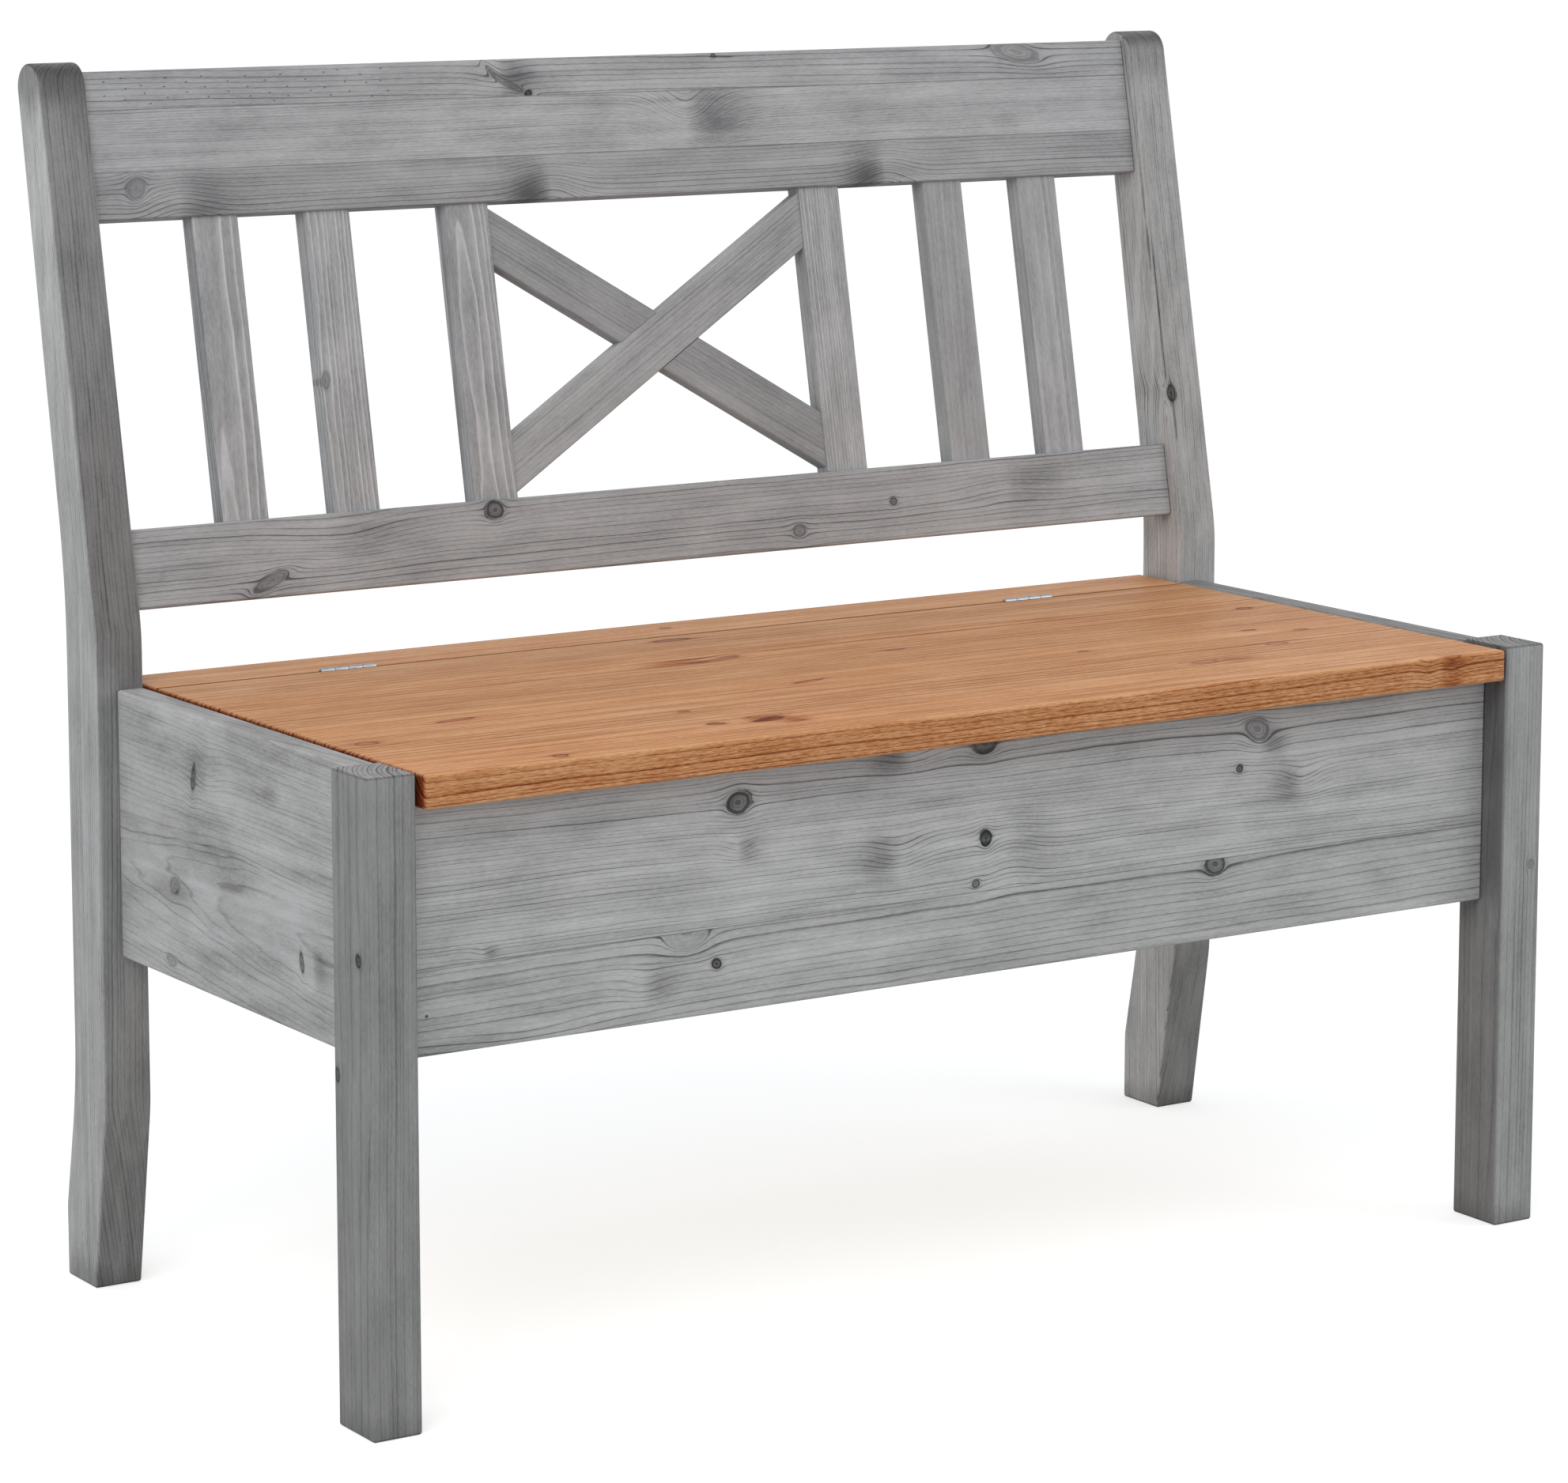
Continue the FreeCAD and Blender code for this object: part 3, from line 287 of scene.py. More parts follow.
def pitted(tree, colour, place, u, v, spans):
    """Small pits that have caught the stain, in loose rows, within a span of u and one of v."""
    spacing, row_turn, looseness, pit_edge, pit_depth = (17, 9, 1), math.radians(14), 0.35, (0.04, 0.08), 0.65
    cells = add(tree, "Mapping", [place, (0, 0, 0), (0, 0, row_turn), spacing], vector_type="TEXTURE")
    cells = add(tree, "TexVoronoi", {"Vector": cells, "Scale": 1.0, "Randomness": looseness},
                voronoi_dimensions="2D")
    dot = add(tree, "MapRange", [cells, *pit_edge, pit_depth, 0])
    for axis, (low, high) in zip((u, v), spans):
        held = add(tree, "Math", [axis, (low + high) / 2, (high - low) / 2], operation="COMPARE")
        dot = add(tree, "Math", [dot, held], operation="MULTIPLY")
    dot = add(tree, "Math", [1, dot], operation="SUBTRACT")
    return add(tree, "VectorMath", [colour, dot], operation="MULTIPLY").outputs["Vector"]


def side_tones(tree, finish, facing, on_end, u, blotch, faces, soaked_and_shaded):
    """Each side of a board takes the finish in its own way, and some sides' tones also hold painted shade;
    the end grain drinks most. So do the arrises round an end, by 4 p (1 - p), where p is the squared part of
    the normal that looks along the board. Stretches, some soaked with more stain or less and some painted
    light or shade, change the tones smoothly, and blotches shift the change by up to a third of its run."""
    blotchy_part = 3
    tones = add(tree, "VectorMath", [facing, (0, *faces)], operation="DOT_PRODUCT").outputs["Value"]
    tones = add(tree, "VectorMath", [finish["ends"], on_end, tones], operation="MULTIPLY_ADD")
    arris = add(tree, "Math", [1, on_end], operation="SUBTRACT")
    arris = add(tree, "Math", [arris, on_end], operation="MULTIPLY")
    arris = add(tree, "Math", [arris, 4 * finish["end_arris"], 1], operation="MULTIPLY_ADD")
    tones = add(tree, "VectorMath", [tones, arris], operation="MULTIPLY")
    for start, end, side, face in soaked_and_shaded:
        reached = add(tree, "Math", [blotch, (end - start) / blotchy_part, u], operation="MULTIPLY_ADD")
        share = add(tree, "MapRange", [reached, start, end, 0, 1], interpolation_type="SMOOTHSTEP")
        change = add(tree, "VectorMath", [facing, ((side + face) / 2 - 1, side - 1, face - 1)],
                     operation="DOT_PRODUCT").outputs["Value"]
        change = add(tree, "Math", [share, change, 1], operation="MULTIPLY_ADD")
        tones = add(tree, "VectorMath", [tones, change], operation="MULTIPLY")
    return tones


def paint(piece, material):
    """Gives a piece one material."""
    piece.data.materials.clear()
    piece.data.materials.append(material)


def middle_of(name):
    """The middle of a CAD node's box."""
    low, high = map(Vector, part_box(name))
    return (low + high) / 2


def make_of_pine(node, finish, along, across, staves, knots=(), swirls=(), wave=5.0, seed=0.0, faces=(1, 1),
                 bend=None, fine=1.8, cloud=1.0, soaked_and_shaded=(), pits=None):
    """Paints a CAD node as pine: a solid pattern in millimetres from the middle of its box, with u along the
    board, v across its face and w into its thickness.

    faces are the tones of the sides that look along v and along w; on some boards a side's tone is painted
    shade.
    bend is a place in u and a slope, past which the grain leans over in w. fine is how thin the late wood's
    lines are, cloud how blotchy the finish is. Then come the stretches: for each, where in u the change
    starts and ends and the tones that it brings to the sides that look along v and along w; most have drunk
    more stain or less, and some carry painted light or shade. pits are the spans of u and v with small pits."""
    fine_on_end, lines_on_end, line_strength, line_unevenness = 0.7, 1.8, 0.9, 0.35
    crowded_radii, knot_crowding, pale_wood_ground = 3.2, 1.2, -0.25
    glue_line, fibre_height = -0.4, 0.1 * MM
    material = bpy.data.materials.new(f"{finish['name']}_{node}")
    tree = tree_of(material)
    turn = Matrix((along, across, along.cross(across))).transposed().to_euler()
    coordinates = add(tree, "TexCoord")
    place = add(tree, "Mapping", [coordinates.outputs["Object"], middle_of(node), turn, (MM, MM, MM)],
                vector_type="TEXTURE")
    u, v = add(tree, "SeparateXYZ", [place]).outputs[:2]
    normal = add(tree, "VectorRotate", {"Vector": coordinates.outputs["Normal"], "Rotation": turn},
                 rotation_type="EULER_XYZ", invert=True)
    facing = add(tree, "VectorMath", [normal, normal], operation="MULTIPLY")
    on_end, on_edge = add(tree, "SeparateXYZ", [facing]).outputs[:2]

    # The wood: boards, grain, branches and rings
    board, joint = glued_boards(tree, v, staves, seed)
    ring, late_share, tone = add(tree, "SeparateXYZ", [board["look"]]).outputs
    patch = add(tree, "VectorMath", [place, board["patch"]], operation="ADD")
    grain = wandering(tree, place, u, patch, wave, bend)
    grain, ground, crowd = over_hidden_branches(tree, grain, v, swirls, finish["ground"])
    if knots:
        grain, nearest, bark, depth = round_knots(tree, grain, v, patch, knots)
    thin = add(tree, "Math", [on_end, fine_on_end - fine, fine], operation="MULTIPLY_ADD")
    late = late_wood(tree, grain, u, board, ring, seed, thin)
    if knots:
        beside = add(tree, "MapRange", [nearest, 1.0, crowded_radii, knot_crowding, 0.0])
        crowd = add(tree, "Math", [beside, crowd], operation="ADD")
    late = add(tree, "Math", [late, crowd], operation="MULTIPLY")

    # How much finish each place has drunk, as a level from pale to dark
    fibre, streak, blotch = wood_marks(tree, patch)
    coarse = add(tree, "Math", [on_edge, finish["edge_fibre"], finish["fibre"]], operation="MULTIPLY_ADD")
    drawn = add(tree, "Math", [streak, line_unevenness, line_strength], operation="MULTIPLY_ADD")
    drawn = add(tree, "Math", [on_end, lines_on_end, drawn], operation="MULTIPLY_ADD")
    drawn = add(tree, "Math", [drawn, late], operation="MULTIPLY")
    drawn = add(tree, "Math", [drawn, late_share], operation="MULTIPLY")
    pale = add(tree, "Math", [late_share, 0], operation="MINIMUM")
    level = add(tree, "Math", [pale, pale_wood_ground, ground], operation="MULTIPLY_ADD")
    level = add(tree, "Math", [on_edge, finish["edge_ground"], level], operation="MULTIPLY_ADD")
    level = add(tree, "Math", [drawn, finish["late"], level], operation="MULTIPLY_ADD")
    level = add(tree, "Math", [fibre, coarse, level], operation="MULTIPLY_ADD")
    level = add(tree, "Math", [streak, finish["streak"], level], operation="MULTIPLY_ADD")
    level = add(tree, "Math", [blotch, finish["blotch"] * cloud, level], operation="MULTIPLY_ADD")

    # The colour, and the shader
    colour = add(tree, "ValToRGB", [level], stops=finish["body"]).outputs["Color"]
    if knots:
        colour = knot_colour(tree, colour, finish, nearest, bark, depth)
    if pits:
        colour = pitted(tree, colour, place, u, v, pits)
    tones = side_tones(tree, finish, facing, on_end, u, blotch, faces, soaked_and_shaded)
    glue = add(tree, "Math", [joint, glue_line, 1], operation="MULTIPLY_ADD")
    tone = add(tree, "Math", [tone, glue], operation="MULTIPLY")
    tones = add(tree, "VectorMath", [tones, tone], operation="MULTIPLY")
    colour = add(tree, "VectorMath", [colour, tones], operation="MULTIPLY")
    bump = add(tree, "Bump", {"Strength": finish["relief"], "Distance": fibre_height, "Height": fibre})
    gloss = add(tree, "MapRange", [level, 0, 1, *finish["roughness"]])
    shader = add(tree, "BsdfPrincipled", {"Base Color": colour, "Roughness": gloss, "Normal": bump,
                                          "Specular IOR Level": finish["specular"]})
    add(tree, "OutputMaterial", [shader])
    paint(nodes[node], material)


make_of_pine(
    "front_left_leg", GREY_STAIN, ALONG_Z, ALONG_X,
    [stave(heart=(52, -34), drift=(0.01, 0.02), ring=3.4, late=0.62)],
    knots=[knot(108, -13, 3.8, 1.3, depth=1.2, edgewise=True), knot(19, 20, 3, 1.8, edgewise=True)],
    wave=5, seed=1.7, faces=(0.53, 0.66), fine=1.4, soaked_and_shaded=[(-215, -240, 0.72, 0.72)])
make_of_pine(
    "front_right_leg", GREY_STAIN, ALONG_Z, ALONG_X,
    [stave(heart=(60, -36), drift=(0.01, 0.01), ring=3.8, late=0.62)],
    knots=[knot(59, 9, 3.2, 1.2, depth=0.5)], wave=4, seed=2.9, faces=(0.52, 0.82), fine=1.4,
    # The right leg's side faces are drawn darker from its middle upwards, as painted shade in the lid's
    # shadow.
    soaked_and_shaded=[(-215, -240, 0.72, 0.72), (0, 50, 0.7, 1.0)])

# Rear posts. Each is cut from a thick plank to a bent outline, foot kicked back and back leaning, and
# rounded at its top; the grain follows the bend. Stained like the legs, but less evenly.
LEAN = math.radians(11.15)
LEAN_START = 45
POST_FOOT = (-452, -478, 0.7, 0.7)
for node, heart, seed, faces, soaked_and_shaded, marks in (
        ("rear_left_post", (-120, 100), 3.1, (0.94, 0.68),
         [(-270, -400, 1.0, 0.84), (-60, 20, 1.0, 0.75), (150, 300, 1.2, 1.22), (428, 462, 0.58, 0.58)], ()),
        ("rear_right_post", (-120, -100), 4.3, (1.16, 1.07),
         # The right post's foot, below the seat, has its side faces drawn lighter as painted light and its
         # front and back faces darker as painted shade.
         [(-200, -270, 1.2, 0.68), (428, 462, 0.8, 0.8)],
         [knot(165, -13, 4.5, 1.6, rim=90, fall=1.6), knot(235, -17, 0.7, 80, depth=0.9),
          knot(140, -12, 0.8, 20, depth=0.9)])):
    make_of_pine(
        node, GREY_STAIN, ALONG_Z, ALONG_X, [stave(heart=heart, drift=(0.01, 0), ring=2.1, late=0.8)],
        knots=marks, fine=1.2, wave=3, seed=seed, faces=faces, bend=(LEAN_START, math.tan(LEAN)),
        soaked_and_shaded=[POST_FOOT, *soaked_and_shaded])

# Side panels. Single wide pine boards, set between a leg and a post on dowels and set back from them, so
# that a shadow line runs along both uprights. Stained grey.
SIDE_KNOTS = [knot(61, 59, 3.2, 3.2, turn=100, rim=0), knot(96, -35, 7, 1.1, rim=200, depth=0.5),
              knot(-111, -50, 3, 2.4, turn=80), knot(103, -91, 4, 2, depth=0.5)]
SIDE_SWIRLS = [swirl(40, 62, 26, 22, 8), swirl(-128, -52, 16, 14, 7, -0.8), swirl(-80, 66, 34, 12, 4, 0.8),
               swirl(70, -30, 30, 26, -7), swirl(-20, 5, 60, 14, -4)]
# The right panel's top and bottom edges are drawn much darker than the left one's: painted shade where its
# top lies behind the lid.
for node, seed, edge_tone_and_shade in (("left_side_panel", 5.1, 1.03), ("right_side_panel", 6.2, 0.6)):
    make_of_pine(
        node, GREY_STAIN, ALONG_Y, ALONG_Z,
        [stave(heart=(-30, 60), drift=(0.05, 0.03), ring=3.2, late=0.6)], SIDE_KNOTS, SIDE_SWIRLS,
        wave=7, seed=seed, cloud=1.5, faces=(edge_tone_and_shade, 0.88))

# Front and rear panels. Wide pine boards glued edge to edge from two staves, dowelled between the legs and
# between the posts. Both are stained grey, and their joints show as fine lines.
FRONT_JOINT = -28.0
FRONT_LOWER = (-BEYOND, FRONT_JOINT)
make_of_pine(
    "front_panel", GREY_STAIN, ALONG_X, ALONG_Z,
    [stave(edge=FRONT_JOINT, heart=(-104, 26), drift=(0.012, 0.004), ring=4.6, late=0.8, tone=1.1),
     stave(heart=(118, 30), drift=(-0.01, 0.01), ring=3.2, late=1.1, tone=1.14)],
    knots=[knot(-217, 64, 8.5, 1.25, rim=35), knot(6, 10, 7, 0.75, turn=15, rim=100),
           knot(-3, -21, 3, 1.2, rim=90, fall=2), knot(226, -31, 8, 1.3, rim=250, limits=FRONT_LOWER),
           knot(266, 74, 6, 2, turn=-10, rim=95, depth=0.7), knot(249, 42, 3, 1.1, rim=60, depth=1.2),
           knot(-262, -28, 13, 1.5, rim=80, depth=0.2, limits=FRONT_LOWER),
           knot(-262, -26, 4, 2, limits=FRONT_LOWER), knot(-236, -55, 3.8, 1.1, rim=120, depth=1.3),
           knot(-480, -62, 1.1, 1.0, depth=1.3), knot(4, 86, 8, 1.4, depth=0.7)],
    swirls=[swirl(-74, 8, 26, 18, 8, -0.9), swirl(-217, 28, 13, 9, 5, 0.7), swirl(312, 26, 22, 16, 9, -0.8),
            swirl(-298, -63, 18, 14, 5, 0.5), swirl(-433, -21, 9, 5, 3, 0.7), swirl(30, 0, 26, 30, -6, 0.3),
            swirl(-64, 82, 28, 12, 7, -0.9), swirl(270, 60, 18, 10, 6, 0.9),
            swirl(-400, -86, 70, 8, 6, -0.4)],
    wave=6, seed=7.7, fine=2.3, cloud=1.1)
make_of_pine(
    "rear_panel", GREY_STAIN, ALONG_X, ALONG_Z,
    [stave(edge=12, heart=(-110, 26), drift=(0.01, 0.006), ring=5, late=0.6),
     stave(heart=(130, 30), drift=(-0.01, 0.01), ring=4.2, late=0.7)],
    knots=[knot(-130, 46, 7, 1.3, rim=60), knot(205, -38, 8, 1.3, rim=200), knot(-330, -60, 4, 1.4)],
    wave=6, seed=8.8, faces=(1, 0.95))

# Chest bottom, cleats and battens. Plain planed pine, without stain or oil, because nothing shows it while
# the lid is shut: pale and warm, with the rings a little darker.
PLANED = {
    "name": "plain_pine",
    "body": ((0.0, linear("#ecd6b0")), (0.35, linear("#dfc398")), (0.65, linear("#cda876")),
             (1.0, linear("#a87c4b"))),
    "heartwood": ((0.0, (0.5, 0.33, 0.24, 1)), (0.12, (0.72, 0.52, 0.4, 1)), (0.2, (0.6, 0.4, 0.3, 1)),
                  (0.3, (0.75, 0.55, 0.42, 1)), (0.375, (0.45, 0.28, 0.2, 1)), (0.43, (0.9, 0.8, 0.7, 1)),
                  (0.6, 1.0)),
    "bark": 0.6, "ends": (0.8, 0.72, 0.62), "end_arris": 0.0,
    "ground": 0.25, "late": 0.6, "fibre": 0.1, "streak": 0.1, "blotch": 0.1,
    "edge_fibre": 0.1, "edge_ground": 0.0, "roughness": (0.55, 0.68), "specular": 0.3, "relief": 0.35,
}
make_of_pine(
    "bottom_panel", PLANED, ALONG_X, ALONG_Y,
    [stave(edge=-68, heart=(-90, 30), ring=4), stave(edge=66, heart=(5, 26), drift=(0.01, 0.02), ring=4.4),
     stave(heart=(170, 40), ring=3.6)],
    knots=[knot(-210, 30, 7, 1.3), knot(150, -90, 6, 1.3), knot(330, 110, 5, 1.4)], wave=6, seed=14.4)
for node, along, across, seed in (
        ("front_cleat", ALONG_X, ALONG_Z, 15.3), ("rear_cleat", ALONG_X, ALONG_Z, 16.4),
        ("left_cleat", ALONG_Y, ALONG_Z, 17.5), ("right_cleat", ALONG_Y, ALONG_Z, 18.6),
        ("left_batten", ALONG_Y, ALONG_X, 19.7), ("right_batten", ALONG_Y, ALONG_X, 20.8)):
    make_of_pine(node, PLANED, along, across, [stave(heart=(30, 50), drift=(0.01, 0.02), ring=3)],
                 wave=3, seed=seed)

# Dowels. Turned beech pegs, glued into both sides of each joint and not seen once it is closed: pale
# pinkish brown with the short dark flecks of beech, 3 mm long and 0.6 mm high.
FLECK_LENGTH, FLECK_HEIGHT = 3 * MM, 0.6 * MM
beech = bpy.data.materials.new("turned_beech")
tree = tree_of(beech)
flecks = add(tree, "VectorMath", [add(tree, "TexCoord").outputs["Object"],
                                  (1 / FLECK_LENGTH, 1 / FLECK_LENGTH, 1 / FLECK_HEIGHT)],
             operation="MULTIPLY")
flecks = add(tree, "TexNoise", {"Vector": flecks, "Scale": 1.0, "Detail": 2.0})
tint = add(tree, "ValToRGB", [flecks], stops=((0.35, linear("#dcb88d")), (0.6, linear("#cfa677")),
                                              (0.68, linear("#a97b52"))))
add(tree, "OutputMaterial", [add(tree, "BsdfPrincipled", {
    "Base Color": tint, "Roughness": add(tree, "MapRange", [flecks, 0, 1, 0.5, 0.65]),
    "Normal": add(tree, "Bump", {"Strength": 0.3, "Distance": 0.05 * MM, "Height": flecks})})])
for node in ("side_panel_dowels", "cross_panel_dowels", "rail_dowels", "strip_dowels"):
    paint(nodes[node], beech)

# Back rails. The top one is glued from three staves, the lower one is a single batten; both lean with the
# posts and are dowelled between them. Their stain is drawn a little cooler than that of the box, a painted
# cool cast against the warm light that the seat throws on the back.
BACK_STAIN_COOLED_AGAINST_LIGHT = {**GREY_STAIN, "body": ((0.0, linear("#bbbcbe")), (0.3, linear("#a4a5a7")),
                                     (0.6, linear("#848587")), (1.0, linear("#58595b")))}
UP_BACK = Vector((0, math.sin(LEAN), math.cos(LEAN)))
TOP_JOINTS = (-21.2, 27.3)
TOP_LOWER, TOP_UPPER = (-BEYOND, TOP_JOINTS[0]), (TOP_JOINTS[1], BEYOND)
make_of_pine(
    "top_rail", BACK_STAIN_COOLED_AGAINST_LIGHT, ALONG_X, UP_BACK,
    [stave(edge=TOP_JOINTS[0], heart=(-99, 24), drift=(0.01, 0.004), ring=3.4, late=1.1, tone=0.91),
     stave(edge=TOP_JOINTS[1], heart=(190, 30), drift=(0.006, 0), ring=2.2, late=0.7, tone=1.06),
     stave(heart=(-60, 22), drift=(-0.01, 0.01), ring=4.6, late=1.1, tone=1.02)],
    knots=[knot(-462, -36, 8, 1.1, turn=70, rim=120, depth=0.4, limits=TOP_LOWER),
           knot(-122, 42, 3, 6, turn=-36, rim=200, depth=0.7, limits=TOP_UPPER),
           knot(-104, 30, 2.6, 1.3, depth=1.3, limits=TOP_UPPER), knot(77, 56, 1.6, 1.4),
           knot(86, 54.6, 0.5, 18, turn=-2),
           knot(386, 50, 8, 3, turn=-12, depth=0.5, rim=200, limits=TOP_UPPER)],
    swirls=[swirl(46, 6, 34, 28, 22, 0.9, TOP_JOINTS), swirl(-92, -58, 28, 28, -15, -1.5, TOP_LOWER),
            swirl(236, -58, 28, 28, -15, -1.5, TOP_LOWER), swirl(-425, -50, 30, 22, -9, 0.8, TOP_LOWER),
            swirl(-128, 44, 22, 14, 5, 0.9, TOP_UPPER)],
    # The top rail's top and bottom sides are drawn darker, as painted shade against the warm light that the
    # lid throws up under it.
    wave=5, seed=9.9, faces=(0.8, 1), soaked_and_shaded=[(-60, -260, 1.0, 0.93)], pits=((-490, -230), (30, 54)))
make_of_pine(
    "lower_rail", BACK_STAIN_COOLED_AGAINST_LIGHT, ALONG_X, UP_BACK,
    [stave(heart=(-70, 26), drift=(0.012, 0.01), ring=3.8, late=1.05, tone=0.97)],
    knots=[knot(-175, 22, 7.5, 1.1, rim=200), knot(-382, -18, 5, 3.4, turn=25, depth=0.5),
           knot(210, 2, 3.2, 1.2, rim=90), knot(113, -17, 5, 1.3, rim=90, depth=0.7)],
    swirls=[swirl(-320, 10, 60, 20, 8, 0.5), swirl(330, 6, 40, 16, -6, 0.5)],
    wave=6, seed=11.1, soaked_and_shaded=[(150, 300, 1.0, 1.06)])

# Slats. Six thin pine battens let into the two rails. On most of them the stain has taken the early wood
# more than the late wood, so that the rings are drawn pale on grey, as tongues or as fine lines.
SLAT_CUTS = {
    1: stave(heart=(-10, 13), drift=(0.03, 0.012), ring=4.4, late=-0.95, tone=1.1),
    2: stave(heart=(-34, 16), drift=(0.0, 0.01), ring=3.6, late=-0.95, tone=1.13),
    3: stave(heart=(-8, 13), drift=(-0.02, 0.014), ring=4.2, late=-0.95, tone=1.12),
    4: stave(heart=(-60, 40), drift=(0.0, 0.01), ring=2.2, late=-0.9, tone=1.16),
    5: stave(heart=(50, 30), drift=(0.01, 0.02), ring=4.4, late=-0.3, tone=0.94),
    6: stave(heart=(-50, 50), drift=(0.0, 0.01), ring=6, late=-0.5, tone=1.08)}
SLAT_KNOTS = {2: [knot(-15, -16, 3, 2.4, depth=0.5)]}
for number, cut in SLAT_CUTS.items():
    make_of_pine(
        f"back_slat_{number}", BACK_STAIN_COOLED_AGAINST_LIGHT, UP_BACK, ALONG_X, [cut], knots=SLAT_KNOTS.get(number, ()),
        wave=7 if number < 4 else 3, seed=12 + 1.3 * number, fine=0.8, faces=(0.88, 1))

# Cross braces. Two battens halved over each other in the middle, the rising one in front, cut to fit
# between the third and the fourth slat and stained with them.
CROSS_RUN, CROSS_RISE = 300, 185
for node, rise, tone, seed in (
        ("rising_brace", CROSS_RISE, 0.95, 23), ("falling_brace", -CROSS_RISE, 0.79, 21)):
    make_of_pine(
        node, BACK_STAIN_COOLED_AGAINST_LIGHT, (ALONG_X * CROSS_RUN + UP_BACK * rise).normalized(),
        (UP_BACK * CROSS_RUN - ALONG_X * rise).normalized(),
        [stave(heart=(-60, 50), drift=(0.004, 0.01), ring=2.8, late=0.6, tone=tone)], wave=3, seed=seed)

# Seat strip and lid. Pine in a honey-coloured oil: the strip is fixed on the rear panel, and the lid is
# glued from six staves. The oil turns the rings red-brown, and knots and end grain nearly purple.
HONEY_OIL = {
    "name": "oiled_pine",
    "body": ((0.0, linear("#e4b286")), (0.3, linear("#cd9465")), (0.6, linear("#ae6a3b")),
             (1.0, linear("#74371a"))),
    "heartwood": ((0.0, (0.6, 0.4, 0.36, 1)), (0.12, (0.78, 0.56, 0.5, 1)), (0.25, (0.64, 0.42, 0.36, 1)),
                  (0.32, (0.24, 0.1, 0.08, 1)), (0.37, (0.3, 0.13, 0.1, 1)), (0.4, (0.72, 0.5, 0.42, 1)),
                  (0.48, (0.88, 0.75, 0.7, 1)), (0.58, (0.95, 0.9, 0.88, 1)), (0.72, 1.0)),
    "bark": 0.7, "ends": (0.4, 0.21, 0.15), "end_arris": 0.0,
    "ground": 0.25, "late": 0.6, "fibre": 0.16, "streak": 0.15, "blotch": 0.11,
    "edge_fibre": 0.16, "edge_ground": 0.1, "roughness": (0.5, 0.62), "specular": 0.16, "relief": 0.35,
}
# The strip's first millimetre, along the joint with the lid, is dark
STRIP_DARK_EDGE = -30.2
make_of_pine(
    "seat_strip", HONEY_OIL, ALONG_X, ALONG_Y,
    [stave(edge=STRIP_DARK_EDGE, heart=(-120, 40), ring=3.4, tone=0.3),
     stave(heart=(-90, 40), drift=(0.01, 0.01), ring=3.4, late=0.6, tone=1.02)],
    knots=[knot(-14, 3, 3.6, 1.4)], wave=4, seed=33, faces=(0.8, 1))
LID_STAVES = [stave(edge=edge, heart=heart, drift=(0.004, 0.01), ring=ring, late=late, tone=tone)
              for edge, heart, ring, late, tone in (
                  (-141, (-230, 36), 3.0, 1.1, 1.11), (-70, (-60, 40), 7.0, 1.1, 1.01),
                  (2, (-150, 30), 5.5, 1.0, 1.05), (73, (110, 30), 8.5, 0.7, 0.95),
                  (143, (20, 40), 7.0, 0.9, 1.0), (BEYOND, (240, 30), 9.0, 0.6, 0.93))]
make_of_pine(
    "lid", HONEY_OIL, ALONG_X, ALONG_Y, LID_STAVES,
    knots=[knot(-42, 194, 5, 3.5, rim=90), knot(-62, 97, 5.5, 4.5, turn=10, depth=0.8),
           knot(-370, -33, 3, 6, turn=8), knot(-471, -83, 6, 1.7, depth=0.8), knot(-377, -199, 4.5, 1.3),
           knot(-55, -31, 2.6, 6, turn=12), knot(-215, -149, 4.5, 1.6), knot(-208, -94, 3, 1.6),
           knot(-172, -152, 7, 2.2, turn=8, depth=0.6), knot(-159, -170, 3, 3, depth=0.8),
           knot(85, 56, 3, 3, depth=0.8), knot(453, 73, 4.5, 1.8), knot(384, -21, 3.2, 2.2),
           knot(423, -41, 3, 2.4), knot(258, -130, 6, 2.2, turn=-8, depth=0.7),
           knot(362, -87, 5, 2.2, depth=0.7), knot(207, -33, 2.6, 1.8)],
    swirls=[swirl(-190, -150, 24, 12, 9, 0.9), swirl(-70, 96, 36, 12, 7, -0.8),
            swirl(270, -128, 26, 10, -7, 0.7), swirl(-165, -168, 14, 8, 6, 0.8),
            swirl(428, -216, 17, 12, -26, 0.7)],
    wave=4, seed=31, fine=1.5, faces=(0.84, 1.0))

# Hinges. Two butt hinges let into the joint between strip and lid, so that only their knuckles show: leaves
# stamped from sheet, rolled round a pin and bright zinc plated, a bluish silver with faint rolling marks.
HINGE_MIDDLES = {"left": -328.5 * MM, "right": 328.5 * MM}
PIN_DEPTH, PIN_HEIGHT = 146.805 * MM, 479.5 * MM
HINGE_LENGTH, KNUCKLES, KNUCKLE_GAP = 49 * MM, 4, 0.4 * MM
KNUCKLE_RADIUS, BORE_RADIUS, KNUCKLE_ROUND = 2.5 * MM, 1.3 * MM, 0.4 * MM
LEAF_THICKNESS, LEAF_HEIGHT, LEAF_FACE, NOTCH = 1.2 * MM, 20 * MM, 0.15 * MM, 2.8 * MM
PITCH = HINGE_LENGTH / KNUCKLES
KNUCKLE_STEPS, STAMPED_ROUND, STAMPED_ANGLE, SHARP_ANGLE = 32, 0.12 * MM, math.radians(50), math.radians(35)
MARK_LENGTH, MARK_WIDTH = 8 * MM, 0.5 * MM
steel = bpy.data.materials.new("zinc_plated_steel")
tree = tree_of(steel)
rolled = add(tree, "VectorMath", [add(tree, "TexCoord").outputs["Object"],
                                  (1 / MARK_LENGTH, 1 / MARK_WIDTH, 1 / MARK_WIDTH)], operation="MULTIPLY")
rolled = add(tree, "TexNoise", {"Vector": rolled, "Scale": 1.0, "Detail": 2.0})
